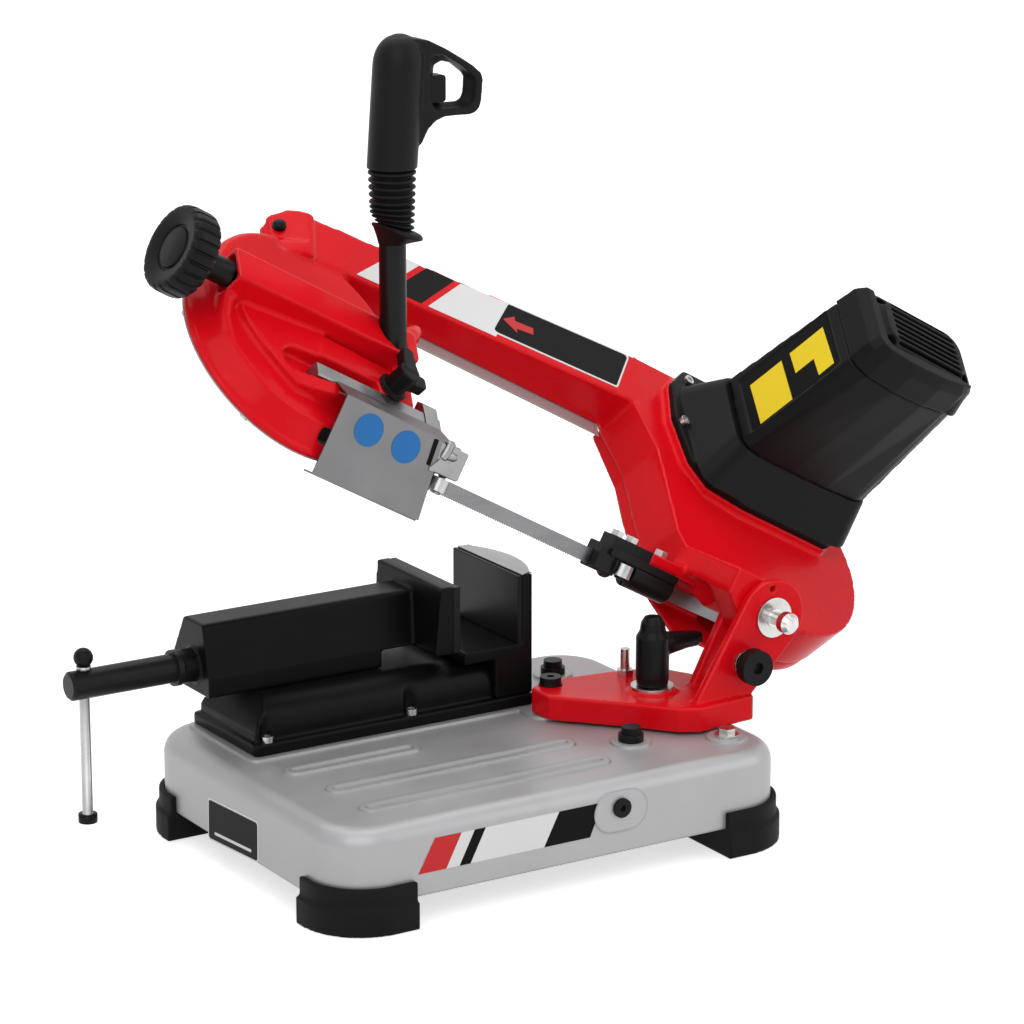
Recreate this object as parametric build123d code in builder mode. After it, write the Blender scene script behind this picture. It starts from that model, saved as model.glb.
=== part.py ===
"""Portable metal cutting band saw: a mitring arm over a screw vise, on a pressed steel base.

Frame: origin on the floor under the middle of the base, +X to the operator's right,
+Y away from the operator, +Z up, millimetres. The arm is modelled in its raised pose.
"""

import os
from math import atan2, cos, degrees, pi, radians, sin, sqrt

from build123d import *

os.makedirs("parts", exist_ok=True)

# Shared clearances
running_gap = 0.05  # radial room of a shaft in its bore
sliding_gap = 0.3  # room between faces that slide or swing past each other
press_gap = 0.02  # radial room of a piece that is pressed on its shaft
root = 1  # how far a raised shape reaches into the body that it grows from

# Screws that several pieces share
small_bolt = 2.5
bed_bolt = 3
stop_bolt = 4
cap_head = 5
cap_hex = 5
hex_flats = 13

# Base
base_length = 426
base_width = 326
base_corner = 46
base_top = 83
base_rim = 24
base_wall = 3
base_edge = 15
pad_rise = 2
pad_margin = 6
pad_corner = 8
rib_width = 20
rib_groove = 8
rib_rise = 1.8
rib_rows = ((-172, -48, -4), (-165, 66, -60), (-165, 66, -112))  # left end, right end, y
swivel_pad = 26
lever_pad = 28
boss_radius = 17
boss_bolt_x = 178
boss_bolt_y = -118
side_pad_length = 50
side_pad_height = 34
side_pad_rise = 1.5
side_plug_x = 44
side_plug_z = 62
plug_shank = 6
plug_head = 8
plug_height = 2.5

# Feet
foot_overhang = 8
foot_step_overhang = 5
foot_step = 22
foot_height = 38
foot_length = 75
foot_width = 64
foot_fit = 0.1
bench_hole = 9
bench_inset = 33

# Vise bed and fixed jaw
bed_left = -177
bed_right = 89
bed_front = 36
bed_back = 146
bed_flange = 10
bed_rail = 128
rail_half = 26
shoulder_inset = 7
shoulder_bulge = 6
shoulder_drop = 9
bed_end_slope = 22
bed_wall = 16
bed_bolt_inset = 14
bed_bolt_share = 0.75  # second pair of bolts, along the bed to the seat
seat_top = 139.5
seat_depth = 10
seat_left = 22
jaw_inset = 2
jaw_foot = 36
jaw_back = 88
jaw_top = 199
jaw_crown = 14
crown_inset = 3
jaw_plate = 4
fixed_face = 74.3

# Movable jaw and vise screw
vise_opening = 56.3
jaw_face_plate = 6
jaw_head = 16
head_draft = 4
body_front = 74
body_back = 136
body_top = 188
body_ridge = 145
body_slope = 9.5
body_lean = 10
body_flat = 33
body_round = 4
body_left = -198
body_end = 7
thrust_wall = 9
cavity_half = 17
sleeve_wall = 2
sleeve_reach = 15
screw_y = 100
screw_z = 151
screw_rod = 12
screw_thread = 9
screw_tail = 7
screw_end = -311
collar_width = 5
collar_rise = 3
nut_half = 14
nut_length = 30
tommy_radius = 4.3
tommy_room = 0.1
tommy_ball = 8
tommy_foot = 3.5
tommy_bottom = 38
tommy_inset = 14

# Swivel bracket
swivel_x = 94
swivel_y = 19
swivel_bolt = 6
swivel_head = 10
plate_top = 106
plate_right = 222
plate_round = 5
stop_radius = 10.5
stop_height = 12
stop_front = (105, -86)
stop_rear = (148, 100)
cheek_front_face = -90
cheek_thick = 8
fork_gap = 33
cheek_round = 31
cheek_foot = 166
rear_cheek_round = 16
rear_cheek_foot = 190
cheek_eye = 3.2
plunger_x = 215
plunger_z = 134
plunger_pin = 4
plunger_barrel = 8
plunger_ring = 11
plunger_grip = 15
lever_x = 158
lever_y = -38
lever_reach = 47
lever_stud = 6
lever_boss = 20
lever_body = 14
lever_rise = 34
washer_radius = 18
washer_thick = 2.5
down_stop_x = 162
down_stop_y = 9
down_stop_rise = 22

# Pivot of the arm
pivot_x = 243
pivot_z = 169
pivot_bolt = 8
pivot_washer = 17
pivot_stud = 6
pivot_stud_length = 14
pivot_nut = 9

# Band and wheels
raised_angle = 29.15
wheel_tilt = 40
blade_y = -7
blade_drop = 17
band_height = 13
band_thickness = 0.65
band_gap = 0.1
band_lead = 16
band_margin = 6
tooth_pitch = 2.5
tooth_depth = 1.0
tooth_rake = 0.7
wheel_radius = 93
wheel_half = 7.5
wheel_rim = 10
wheel_web = 8
wheel_holes = 6
hole_ring = 52
hole_radius = 17
drive_hub = 20
idler_hub = 18
idler_x = -433
drive_x = 72
idler_shaft = 6
bearing_outer = 11
drive_shaft = 8
drive_bearing = 14
bearing_width = 8

# Arm frame
arm_back = -11
drive_back = -16
face_height = 30
pad_face = 38
bolt_depth = 10
plate_face = 9
shell_wall = 3.5
shell_margin = 8  # drive housing outside its wheel
well_margin = 7  # idler's well outside its wheel
well_room = 3
run_room = 16  # channel of the back run, above it
run_face = 8
exit_left = -90  # opening of the drive housing for the band
exit_low = -24
exit_high = 16
idler_exit_low = -14
dome_margin = 8.6
dome_shift = 11.5
dome_drop = 16
dome_face = 13
dome_slope = 18
dome_rim = 4
beam_below = 5  # beam's lower face below the back run of the band
beam_left_rise = 44
beam_right_rise = 54
beam_reach = 19
beam_join = -60
beam_left_face = 12
beam_corner = 14
cover_sheet = 1.2
rear_dish = 18
dish_round = 9
dish_groove = 2.5
tongue_round = 24
web_left = -46
web_right = -27
web_low = 4
web_high = 26
web_back = 2
spring_radius = 17
spring_width = 18
lug_left = -84
lug_right = -20
lug_half = 9
lug_thick = 10

# Tension slide and knob
ridge_face = 42
ridge_half = 16
ridge_lean = 3
ridge_reach = 4.5  # past the rim of the idler
ridge_tail = 88
ridge_end = 8
ridge_round = 3
screw_height = 28
carriage_length = 60
carriage_half = 11
tension_screw = 5
tension_slack = 2.5
knob_radius = 38
knob_length = 24
knob_neck = 32
knob_stem = 11
knob_flutes = 24
flute_radius = 2.2
knob_dish = 15
knob_edge = 4

# Blade guides and guard, along the arm from the idler's centre
bar_start = -13
bar_low = 29
bar_width = 14
bar_height = 14
bar_wall = 12
clamp_wall = 23
guide_offset = 40  # right end of the left guide, past the idler's rim
guide_length = 42
guide_back = 19
post_back = 24
post_front = -10
post_inset = 7
post_top = 38
roller_radius = 8
roller_gap = 0.35
roller_inset = 9
pin_radius = 3
pin_flange = 4.5
clamp_offset = 66
clamp_rise = 24
clamp_stud = 4
clamp_washer = 13
clamp_body = 9.5
clamp_height = 23
clamp_wing = 24
guard_front = 20
guard_sheet = 1.5
guard_start = 129  # both ends of the guard, back from the guide's right end
guard_end = 20
guard_top = 17
guard_bottom = -51
guard_slant = 10
guard_lip = 6
right_guide_radius = 13
guide_lift = 1.5
right_guide_near = -52
right_guide_far = -118
right_rollers = -106
right_block = 18
band_slot = 1.2

# Handle, up from the foot of its tube
handle_along = 6.4  # from the ridge's end to the tube
handle_across = 3
handle_seat = 31
tube_radius = 11
tube_wall = 2
tube_length = 198
boot_rise = 95
boot_length = 56
boot_ribs = 9
boot_crest = 19.5
boot_root = 16.5
boot_lip = 5
boot_room = 0.4
grip_radius = 20.5
grip_rise = 258
loop_half = 11
loop_round = 4
loop_points = ((8, 253), (26, 250), (58, 235), (84, 215), (80, 186), (44, 186), (30, 180), (8, 178))
loop_hole = ((35, 196), (37, 224), (43, 230), (51, 230), (67, 222), (66, 200), (60, 195), (40, 192))
trigger_half = 7
trigger_rise = 201
trigger_height = 22
trigger_face = 46.5
switch_depth = 8
switch_gap = 14

# Motor and gears, the motor's outlines from its own axis
motor_x = 74
motor_rise = 72
motor_shaft = 5
motor_bore = 33
motor_corner = 16
cover_top = 80
motor_top = 205
cap_top = 238
cap_edge = 8
cap_floor = 7
flange = 7
flange_round = 8
cover_head = 4
rotor_radius = 20
rotor_length = 66
rotor_inset = 22
stator_inner = 20.6
stator_length = 70
commutator_radius = 12
commutator_length = 28
brush_half = 5
fan_vanes = 8
fan_room = 18
fan_height = 14
fan_hub = 12
fan_gap = 3
vane_length = 16
vane_turn = 15
module_fast = 1.0
module_slow = 1.25
teeth_pinion = 10
teeth_fast = 66
teeth_small = 12
teeth_drive = 84
gear_width = 7
mid_shaft = 4
gear_plate = 70
gear_plate_thick = 3
gear_gap = 2
gear_ring = 32
gear_hole = 11
tooth_tip = 0.75  # in modules
tooth_foot = 1.1
pinion_room = 12
pinion_core = 3
room_left = -56
room_right = 52
room_half = 26
vent_slots = 10
vent_pitch = 6.4
vent_half = 1.8
vent_reach = 39

# Directions of the arm in its raised pose
lift = radians(raised_angle)
tilt = radians(wheel_tilt)
arm_dir = Vector(-cos(lift), 0, sin(lift))
arm_up = Vector(sin(lift), 0, cos(lift))
toward = Vector(0, -1, 0)
wheel_axis = arm_up * cos(tilt) + toward * sin(tilt)
side = arm_up * sin(tilt) - toward * cos(tilt)
pivot = Vector(pivot_x, 0, pivot_z)
band_origin = pivot - arm_up * blade_drop + Vector(0, blade_y, 0)


def spot(x, y, z):
    """A point of the arm: x from idler to drive wheel, y across the loop, z along the wheel axis."""
    return band_origin - arm_dir * x + side * y + wheel_axis * z


def wheel_plane(z):
    """The plane of the band wheels, z along the wheel axis."""
    return Plane(origin=spot(0, 0, z), x_dir=-arm_dir, z_dir=wheel_axis)


def axis_plane(x, y):
    """A plane through a wheel's axis: local x along the arm, local y along the axis."""
    return Plane(origin=spot(x, y, 0), x_dir=-arm_dir, z_dir=-side)


def blade_plane(y):
    """An upright plane along the arm at y: local x toward the drive, local y square to the arm."""
    return Plane(origin=Vector(pivot_x, y, pivot_z), x_dir=-arm_dir, z_dir=toward)


def cross_plane(x):
    """A plane across the arm that faces the idler: local x toward the operator."""
    return Plane(origin=pivot - arm_dir * x, x_dir=toward, z_dir=arm_dir)


def up_plane(x, y, v):
    """A plane square to the band's width, facing away from the teeth: local x toward the drive."""
    origin = pivot - arm_dir * x + Vector(0, y, 0) + arm_up * v
    return Plane(origin=origin, x_dir=-arm_dir, z_dir=arm_up)


def front_plane(y):
    """The upright plane at y that faces the operator: local x right, local y up."""
    return Plane.XZ.offset(-y)


def rod(plane, centre, radius, length, mode=Mode.ADD):
    """A round bar that stands on a plane."""
    with BuildSketch(plane) as outline:
        with Locations(centre):
            Circle(radius)
    extrude(outline.sketch, amount=length, mode=mode)


def tube(plane, centre, outer, inner, length):
    """A round sleeve that stands on a plane."""
    with BuildSketch(plane) as outline:
        with Locations(centre):
            Circle(outer)
            Circle(inner, mode=Mode.SUBTRACT)
    extrude(outline.sketch, amount=length)


def hexagon(plane, centre, flats, length, mode=Mode.ADD):
    """A hexagon bar that stands on a plane, by its width over flats."""
    with BuildSketch(plane) as outline:
        with Locations(centre):
            RegularPolygon(flats / 2, 6, major_radius=False)
    extrude(outline.sketch, amount=length, mode=mode)


def block(plane, low, high, length, corner=0, mode=Mode.ADD):
    """A rectangular block on a plane, from its low corner to its high corner."""
    with BuildSketch(plane) as outline:
        with Locations(((low[0] + high[0]) / 2, (low[1] + high[1]) / 2)):
            if corner:
                RectangleRounded(high[0] - low[0], high[1] - low[1], corner)
            else:
                Rectangle(high[0] - low[0], high[1] - low[1])
    extrude(outline.sketch, amount=length, mode=mode)


def plate(plane, points, length, corner=0, mode=Mode.ADD):
    """A plate with a polygon outline, its corners rounded."""
    with BuildSketch(plane) as outline:
        with BuildLine():
            Polyline(*points, close=True)
        make_face()
        if corner:
            fillet(outline.vertices(), corner)
    extrude(outline.sketch, amount=length, mode=mode)


def tapered_block(low_plane, low, high_plane, high, corner, mode=Mode.ADD):
    """A block with rounded corners that changes from one rectangle to another."""
    faces = []
    for plane, (left, bottom, right, top) in ((low_plane, low), (high_plane, high)):
        with BuildSketch(plane) as outline:
            with Locations(((left + right) / 2, (bottom + top) / 2)):
                RectangleRounded(right - left, top - bottom, corner)
        faces.append(outline.sketch.faces()[0])
    loft(faces, ruled=True, mode=mode)


def turned(plane, profile, axis_dir, mode=Mode.ADD):
    """A turned shape: the profile's x is the radius and its y the height along the axis."""
    with BuildSketch(plane) as outline:
        with BuildLine():
            Polyline(*profile, close=True)
        make_face()
    revolve(outline.sketch, axis=Axis(plane.origin, axis_dir), mode=mode)


def gear(plane, centre, teeth, module, width, toward_deg, mode=Mode.ADD):
    """A spur gear with straight flanks and room between the teeth; one tooth points at toward_deg."""
    pitch_radius = module * teeth / 2
    tip = pitch_radius + tooth_tip * module
    foot = pitch_radius - tooth_foot * module
    step = 2 * pi / teeth
    points = []
    for i in range(teeth):
        for radius, share in ((foot, -0.21), (tip, -0.1), (tip, 0.1), (foot, 0.21)):
            angle = radians(toward_deg) + (i + share) * step
            points.append((centre[0] + radius * cos(angle), centre[1] + radius * sin(angle)))
    plate(plane, points, width, mode=mode)


def save(piece, name):
    """Label a finished piece and write it."""
    piece.part.label = name
    export_step(piece.part, f"parts/{name}.step")


def hex_bolts(planes, flats, head, radius, shank):
    """Bolts with hexagon heads that stand on planes and reach down through them."""
    for plane in planes:
        hexagon(plane, (0, 0), flats, head)
        rod(plane, (0, 0), radius, -shank)


def ring_of_holes(plane, centre, count, ring, radius, depth):
    """Round holes cut through a disc, evenly spaced on a ring."""
    for i in range(count):
        angle = 2 * pi * i / count
        hole = (centre[0] + ring * cos(angle), centre[1] + ring * sin(angle))
        rod(plane, hole, radius, depth, mode=Mode.SUBTRACT)


def cap_screw(plane, bolt, shank):
    """A screw with a round head and a hexagon socket that stands on a plane and reaches down through it."""
    rod(plane, (0, 0), cap_head, cap_head)
    hexagon(plane.offset(cap_head), (0, 0), cap_hex, -cap_hex / 2, mode=Mode.SUBTRACT)
    rod(plane, (0, 0), bolt, -shank)


# Base: a pressed steel tray with ribs, pads and bosses on its top
deck = base_top + pad_rise
bolt_rim = bed_bolt + root + shoulder_inset / 4
bed_bolt_spots = [
    (x, y)
    for x in (bed_left + bed_bolt_inset, bed_left + (seat_left - bed_left) * bed_bolt_share)
    for y in (bed_front + bolt_rim, bed_back - bolt_rim)
]
boss_spots = [stop_front, stop_rear, (boss_bolt_x, boss_bolt_y)]
foot_corners = [
    (sx * (base_length / 2 - bench_inset), sy * (base_width / 2 - bench_inset))
    for sx in (-1, 1)
    for sy in (-1, 1)
]

with BuildPart() as base:
    with BuildSketch(Plane.XY.offset(base_rim)):
        RectangleRounded(base_length, base_width, base_corner)
    extrude(amount=base_top - base_rim)
    fillet(base.faces().sort_by(Axis.Z)[-1].edges(), base_edge)
    offset(amount=-base_wall, openings=base.faces().sort_by(Axis.Z)[0])
    pad_plane = Plane.XY.offset(base_top - root)
    block(
        pad_plane,
        (bed_left - pad_margin, bed_front - pad_margin),
        (bed_right + pad_margin, bed_back),
        root + pad_rise,
        pad_corner,
    )
    for left, right, y in rib_rows:
        with BuildSketch(pad_plane) as rib:
            with Locations(((left + right) / 2, y)):
                SlotOverall(right - left, rib_width)
                SlotOverall(right - left - rib_width + rib_groove, rib_groove, mode=Mode.SUBTRACT)
        extrude(rib.sketch, amount=root + rib_rise)
    rod(pad_plane, (swivel_x, swivel_y), swivel_pad, root + pad_rise)
    rod(pad_plane, (lever_x, lever_y), lever_pad, root + pad_rise)
    for spot_xy in boss_spots:
        rod(pad_plane, spot_xy, boss_radius, root + pad_rise)
    with BuildSketch(front_plane(-base_width / 2 + root)) as side_pad:
        with Locations((side_plug_x, side_plug_z - side_pad_rise * 2)):
            SlotOverall(side_pad_length, side_pad_height)
    extrude(side_pad.sketch, amount=root + side_pad_rise)
    under = Plane.XY.offset(base_rim)
    rod(under, (swivel_x, swivel_y), swivel_bolt + running_gap, base_top, mode=Mode.SUBTRACT)
    for spot_xy in boss_spots:
        rod(under, spot_xy, stop_bolt + running_gap, base_top, mode=Mode.SUBTRACT)
    for spot_xy in bed_bolt_spots:
        rod(under, spot_xy, bed_bolt + running_gap, base_top, mode=Mode.SUBTRACT)
    plug_hole = front_plane(-base_width / 2 - side_pad_rise)
    plug_depth = base_wall + side_pad_rise
    rod(
        plug_hole,
        (side_plug_x, side_plug_z),
        plug_shank + running_gap,
        -plug_depth - root,
        mode=Mode.SUBTRACT,
    )
save(base, "base_tray")

# Feet: a stepped rubber boot under each corner, with the rim of the tray standing in it
with BuildPart() as feet:
    for overhang, low, high in (
        (foot_overhang, 0, foot_step),
        (foot_step_overhang, foot_step, foot_height),
    ):
        with BuildSketch(Plane.XY.offset(low)) as tier:
            RectangleRounded(
                base_length + 2 * overhang, base_width + 2 * overhang, base_corner + overhang
            )
        extrude(tier.sketch, amount=high - low)
    with BuildSketch(Plane.XY.offset(base_rim)) as recess:
        RectangleRounded(base_length + 2 * foot_fit, base_width + 2 * foot_fit, base_corner)
    extrude(recess.sketch, amount=foot_height, mode=Mode.SUBTRACT)
    outer_x = base_length / 2 + foot_overhang
    outer_y = base_width / 2 + foot_overhang
    block(
        Plane.XY,
        (-outer_x + foot_length, -outer_y),
        (outer_x - foot_length, outer_y),
        foot_height,
        mode=Mode.SUBTRACT,
    )
    block(
        Plane.XY,
        (-outer_x, -outer_y + foot_width),
        (outer_x, outer_y - foot_width),
        foot_height,
        mode=Mode.SUBTRACT,
    )
    for spot_xy in foot_corners:
        rod(Plane.XY, spot_xy, bench_hole / 2, foot_height, mode=Mode.SUBTRACT)
save(feet, "corner_feet")

with BuildPart() as side_plug:
    rod(plug_hole, (side_plug_x, side_plug_z), plug_head, plug_height)
    rod(plug_hole, (side_plug_x, side_plug_z), plug_shank, -plug_depth)
    hexagon(
        plug_hole.offset(plug_height),
        (side_plug_x, side_plug_z),
        cap_hex,
        -plug_height,
        mode=Mode.SUBTRACT,
    )
save(side_plug, "side_plug")

with BuildPart() as stops:
    for x, y in (stop_front, stop_rear):
        stop_plane = Plane(origin=(x, y, deck))
        rod(stop_plane, (0, 0), stop_radius, stop_height / 2)
        rod(stop_plane, (0, 0), 2 * stop_bolt, stop_height)
        rod(stop_plane, (0, 0), stop_bolt, -pad_rise - base_wall - 2 * stop_bolt)
save(stops, "swivel_stops")

with BuildPart() as swivel_pin:
    pin_plane = Plane(origin=(swivel_x, swivel_y, plate_top + sliding_gap))
    rod(pin_plane, (0, 0), swivel_head, root)
    rod(pin_plane.offset(root), (0, 0), swivel_head - root, swivel_bolt)
    hexagon(pin_plane.offset(root + swivel_bolt), (0, 0), swivel_bolt, -swivel_bolt / 2, mode=Mode.SUBTRACT)
    rod(pin_plane, (0, 0), swivel_bolt, base_top - base_wall - swivel_bolt - plate_top)
save(swivel_pin, "swivel_bolt")

# Vise bed: a casting with a flange, rounded shoulders, a flat rail and a hollow underside
shoulder_low = deck + bed_flange
bed_middle = (bed_front + bed_back) / 2
hump_front = bed_front + shoulder_inset
hump_back = bed_back - shoulder_inset
hump_right = jaw_back - jaw_foot
seat_bottom = seat_top - seat_depth
with BuildPart() as bed:
    block(Plane.XY.offset(deck), (bed_left, bed_front), (bed_right, bed_back), bed_flange, body_round)
    with BuildSketch(Plane.YZ.offset(bed_left + body_round)) as hump:
        with BuildLine():
            ThreePointArc(
                (hump_front, shoulder_low),
                (hump_front + shoulder_bulge, bed_rail - shoulder_drop),
                (bed_middle - rail_half, bed_rail),
            )
            Line((bed_middle - rail_half, bed_rail), (bed_middle + rail_half, bed_rail))
            ThreePointArc(
                (bed_middle + rail_half, bed_rail),
                (hump_back - shoulder_bulge, bed_rail - shoulder_drop),
                (hump_back, shoulder_low),
            )
            Line((hump_back, shoulder_low), (hump_front, shoulder_low))
        make_face()
    extrude(hump.sketch, amount=hump_right - bed_left - body_round)
    plate(
        front_plane(bed_back),
        [
            (bed_left, shoulder_low + jaw_inset),
            (bed_left + bed_end_slope, bed_rail + root),
            (bed_left - root, bed_rail + root),
            (bed_left - root, shoulder_low + jaw_inset),
        ],
        bed_back - bed_front,
        mode=Mode.SUBTRACT,
    )
    block(
        front_plane(bed_back),
        (seat_left - jaw_inset, seat_bottom - sliding_gap),
        (bed_right, bed_rail + root),
        bed_back - bed_front,
        mode=Mode.SUBTRACT,
    )
    block(
        Plane.XY.offset(deck),
        (bed_left + bed_end_slope + bed_wall, hump_front + bed_wall),
        (seat_left - bed_wall, hump_back - bed_wall),
        bed_rail - bed_wall - deck,
        mode=Mode.SUBTRACT,
    )
    for spot_xy in bed_bolt_spots:
        rod(Plane.XY.offset(deck), spot_xy, bed_bolt + running_gap, bed_flange, mode=Mode.SUBTRACT)
        rod(Plane.XY.offset(shoulder_low), spot_xy, cap_head + root, bed_rail, mode=Mode.SUBTRACT)
save(bed, "vise_bed")

# Bolts in the base: four cap screws through the bed's flange, and one bolt on a boss
with BuildPart() as base_bolts:
    for x, y in bed_bolt_spots:
        cap_screw(Plane(origin=(x, y, shoulder_low)), bed_bolt, bed_flange + pad_rise + base_wall)
    boss_plane = Plane(origin=(boss_bolt_x, boss_bolt_y, deck))
    rod(boss_plane, (0, 0), hex_flats - base_wall, pad_rise)
    hex_bolts([boss_plane.offset(pad_rise)], hex_flats, cap_head, stop_bolt, 4 * stop_bolt)
save(base_bolts, "base_bolts")

# Fixed jaw: a seat for the work and an upright with a crowned back
jaw_near = bed_front + jaw_inset
jaw_far = bed_back - jaw_inset
jaw_middle = (jaw_near + jaw_far) / 2
jaw_width = jaw_far - jaw_near
crown_start = jaw_back - root
with BuildPart() as fixed_jaw:
    block(front_plane(jaw_far), (seat_left, seat_bottom), (jaw_back, seat_top), jaw_width, root)
    block(front_plane(jaw_far), (hump_right, shoulder_low), (jaw_back, seat_top), jaw_width)
    block(front_plane(jaw_far), (fixed_face + jaw_plate, seat_top - root), (jaw_back, jaw_top), jaw_width)
    with BuildSketch(Plane.XY.offset(seat_top)) as crown:
        with BuildLine():
            Line((crown_start, jaw_far - crown_inset), (crown_start, jaw_near + crown_inset))
            ThreePointArc(
                (crown_start, jaw_near + crown_inset),
                (jaw_back + jaw_crown, jaw_middle),
                (crown_start, jaw_far - crown_inset),
            )
        make_face()
    extrude(crown.sketch, amount=jaw_top - seat_top)
save(fixed_jaw, "fixed_jaw")

with BuildPart() as fixed_plate:
    block(
        front_plane(jaw_far - root),
        (fixed_face, seat_top + press_gap),
        (fixed_face + jaw_plate, jaw_top - root),
        jaw_width - 2 * root,
        root,
    )
save(fixed_plate, "fixed_jaw_plate")

# Movable jaw: a long hollow body that slides on the rail, with a flared head
face_x = fixed_face - vise_opening
head_right = face_x - jaw_face_plate
head_left = head_right - jaw_head
body_bottom = bed_rail + sliding_gap
head_bottom = seat_top + jaw_inset
body_right = seat_left - vise_opening - jaw_inset
cavity_left = body_left + body_end
cavity_right = body_right - thrust_wall
sleeve_radius = screw_rod + sleeve_wall


def jaw_section(x, bottom):
    """The body's cross section above a level: a flat top between a leaning front and a sloping back."""
    with BuildSketch(Plane.YZ.offset(x)) as section:
        with BuildLine():
            Polyline(
                (body_front, bottom),
                (body_front, body_ridge),
                (body_front + body_lean, body_top),
                (body_front + body_lean + body_flat, body_top),
                (body_back, body_ridge + body_slope),
                (body_back, bottom),
                close=True,
            )
        make_face()
        fillet(section.vertices().sort_by(Axis.Y)[-2:], body_round)
    return section.sketch


with BuildPart() as movable_jaw:
    extrude(jaw_section(body_left, body_bottom), amount=body_right - body_left)
    extrude(jaw_section(body_right - root, head_bottom + root), amount=head_left + body_round - body_right)
    with BuildSketch(front_plane(jaw_far)):
        with BuildLine():
            Polyline(
                (head_right, head_bottom),
                (head_right, jaw_top),
                (head_left + head_draft, jaw_top),
                (head_left - jaw_inset, head_bottom),
                close=True,
            )
        make_face()
    extrude(amount=jaw_far - jaw_near)
    rod(Plane.YZ.offset(body_left), (screw_y, screw_z), sleeve_radius, -sleeve_reach)
    block(
        Plane.YZ.offset(cavity_left),
        (screw_y - cavity_half, body_bottom - root),
        (screw_y + cavity_half, screw_z + cavity_half),
        cavity_right - cavity_left,
        mode=Mode.SUBTRACT,
    )
    rod(
        Plane.YZ.offset(cavity_left),
        (screw_y, screw_z),
        screw_rod + running_gap,
        body_left - sleeve_reach - cavity_left,
        mode=Mode.SUBTRACT,
    )
    rod(
        Plane.YZ.offset(cavity_right),
        (screw_y, screw_z),
        screw_tail + running_gap,
        thrust_wall - jaw_inset,
        mode=Mode.SUBTRACT,
    )
save(movable_jaw, "movable_jaw")

with BuildPart() as jaw_face:
    block(
        front_plane(jaw_far - root),
        (head_right, head_bottom),
        (face_x, jaw_top - root),
        jaw_width - 2 * root,
        root,
    )
save(jaw_face, "movable_jaw_plate")

nut_left = (cavity_left + cavity_right - nut_length) / 2
with BuildPart() as nut:
    block(
        Plane.YZ.offset(nut_left),
        (screw_y - nut_half, bed_rail),
        (screw_y + nut_half, screw_z + nut_half),
        nut_length,
        sleeve_wall,
    )
    rod(
        Plane.YZ.offset(nut_left),
        (screw_y, screw_z),
        screw_thread + running_gap,
        nut_length,
        mode=Mode.SUBTRACT,
    )
save(nut, "vise_nut")

tommy_x = screw_end + tommy_inset
screw_spot = (screw_y, screw_z)
with BuildPart() as vise_screw:
    rod(Plane.YZ.offset(screw_end), screw_spot, screw_rod, cavity_left - root - screw_end)
    thread_start = cavity_left - 2 * root
    rod(Plane.YZ.offset(thread_start), screw_spot, screw_thread, cavity_right - sliding_gap - thread_start)
    rod(Plane.YZ.offset(cavity_right - root), screw_spot, screw_tail, thrust_wall - jaw_inset)
    chamfer(vise_screw.faces().sort_by(Axis.X)[0].edges(), sleeve_wall)
    collar_plane = Plane.YZ.offset(body_left - sleeve_reach - sliding_gap)
    rod(collar_plane, screw_spot, screw_rod + collar_rise, -collar_width)
    rod(
        Plane.XY.offset(screw_z - screw_rod - root),
        (tommy_x, screw_y),
        tommy_radius + tommy_room,
        2 * (screw_rod + root),
        mode=Mode.SUBTRACT,
    )
save(vise_screw, "vise_screw")

tommy_rest = screw_z + screw_rod + sliding_gap
with BuildPart() as tommy_bar:
    bar_foot = Plane(origin=(tommy_x, screw_y, tommy_bottom))
    rod(bar_foot, (0, 0), tommy_radius, tommy_rest + tommy_radius - tommy_bottom)
    rod(bar_foot.offset(tommy_rest - tommy_bottom), (0, 0), tommy_ball - sleeve_wall, collar_rise)
    with Locations((tommy_x, screw_y, tommy_rest + tommy_ball + sleeve_wall)):
        Sphere(tommy_ball)
    rod(bar_foot.offset(-tommy_foot), (0, 0), tommy_radius + tommy_foot, 2 * tommy_foot)
save(tommy_bar, "tommy_bar")

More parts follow.
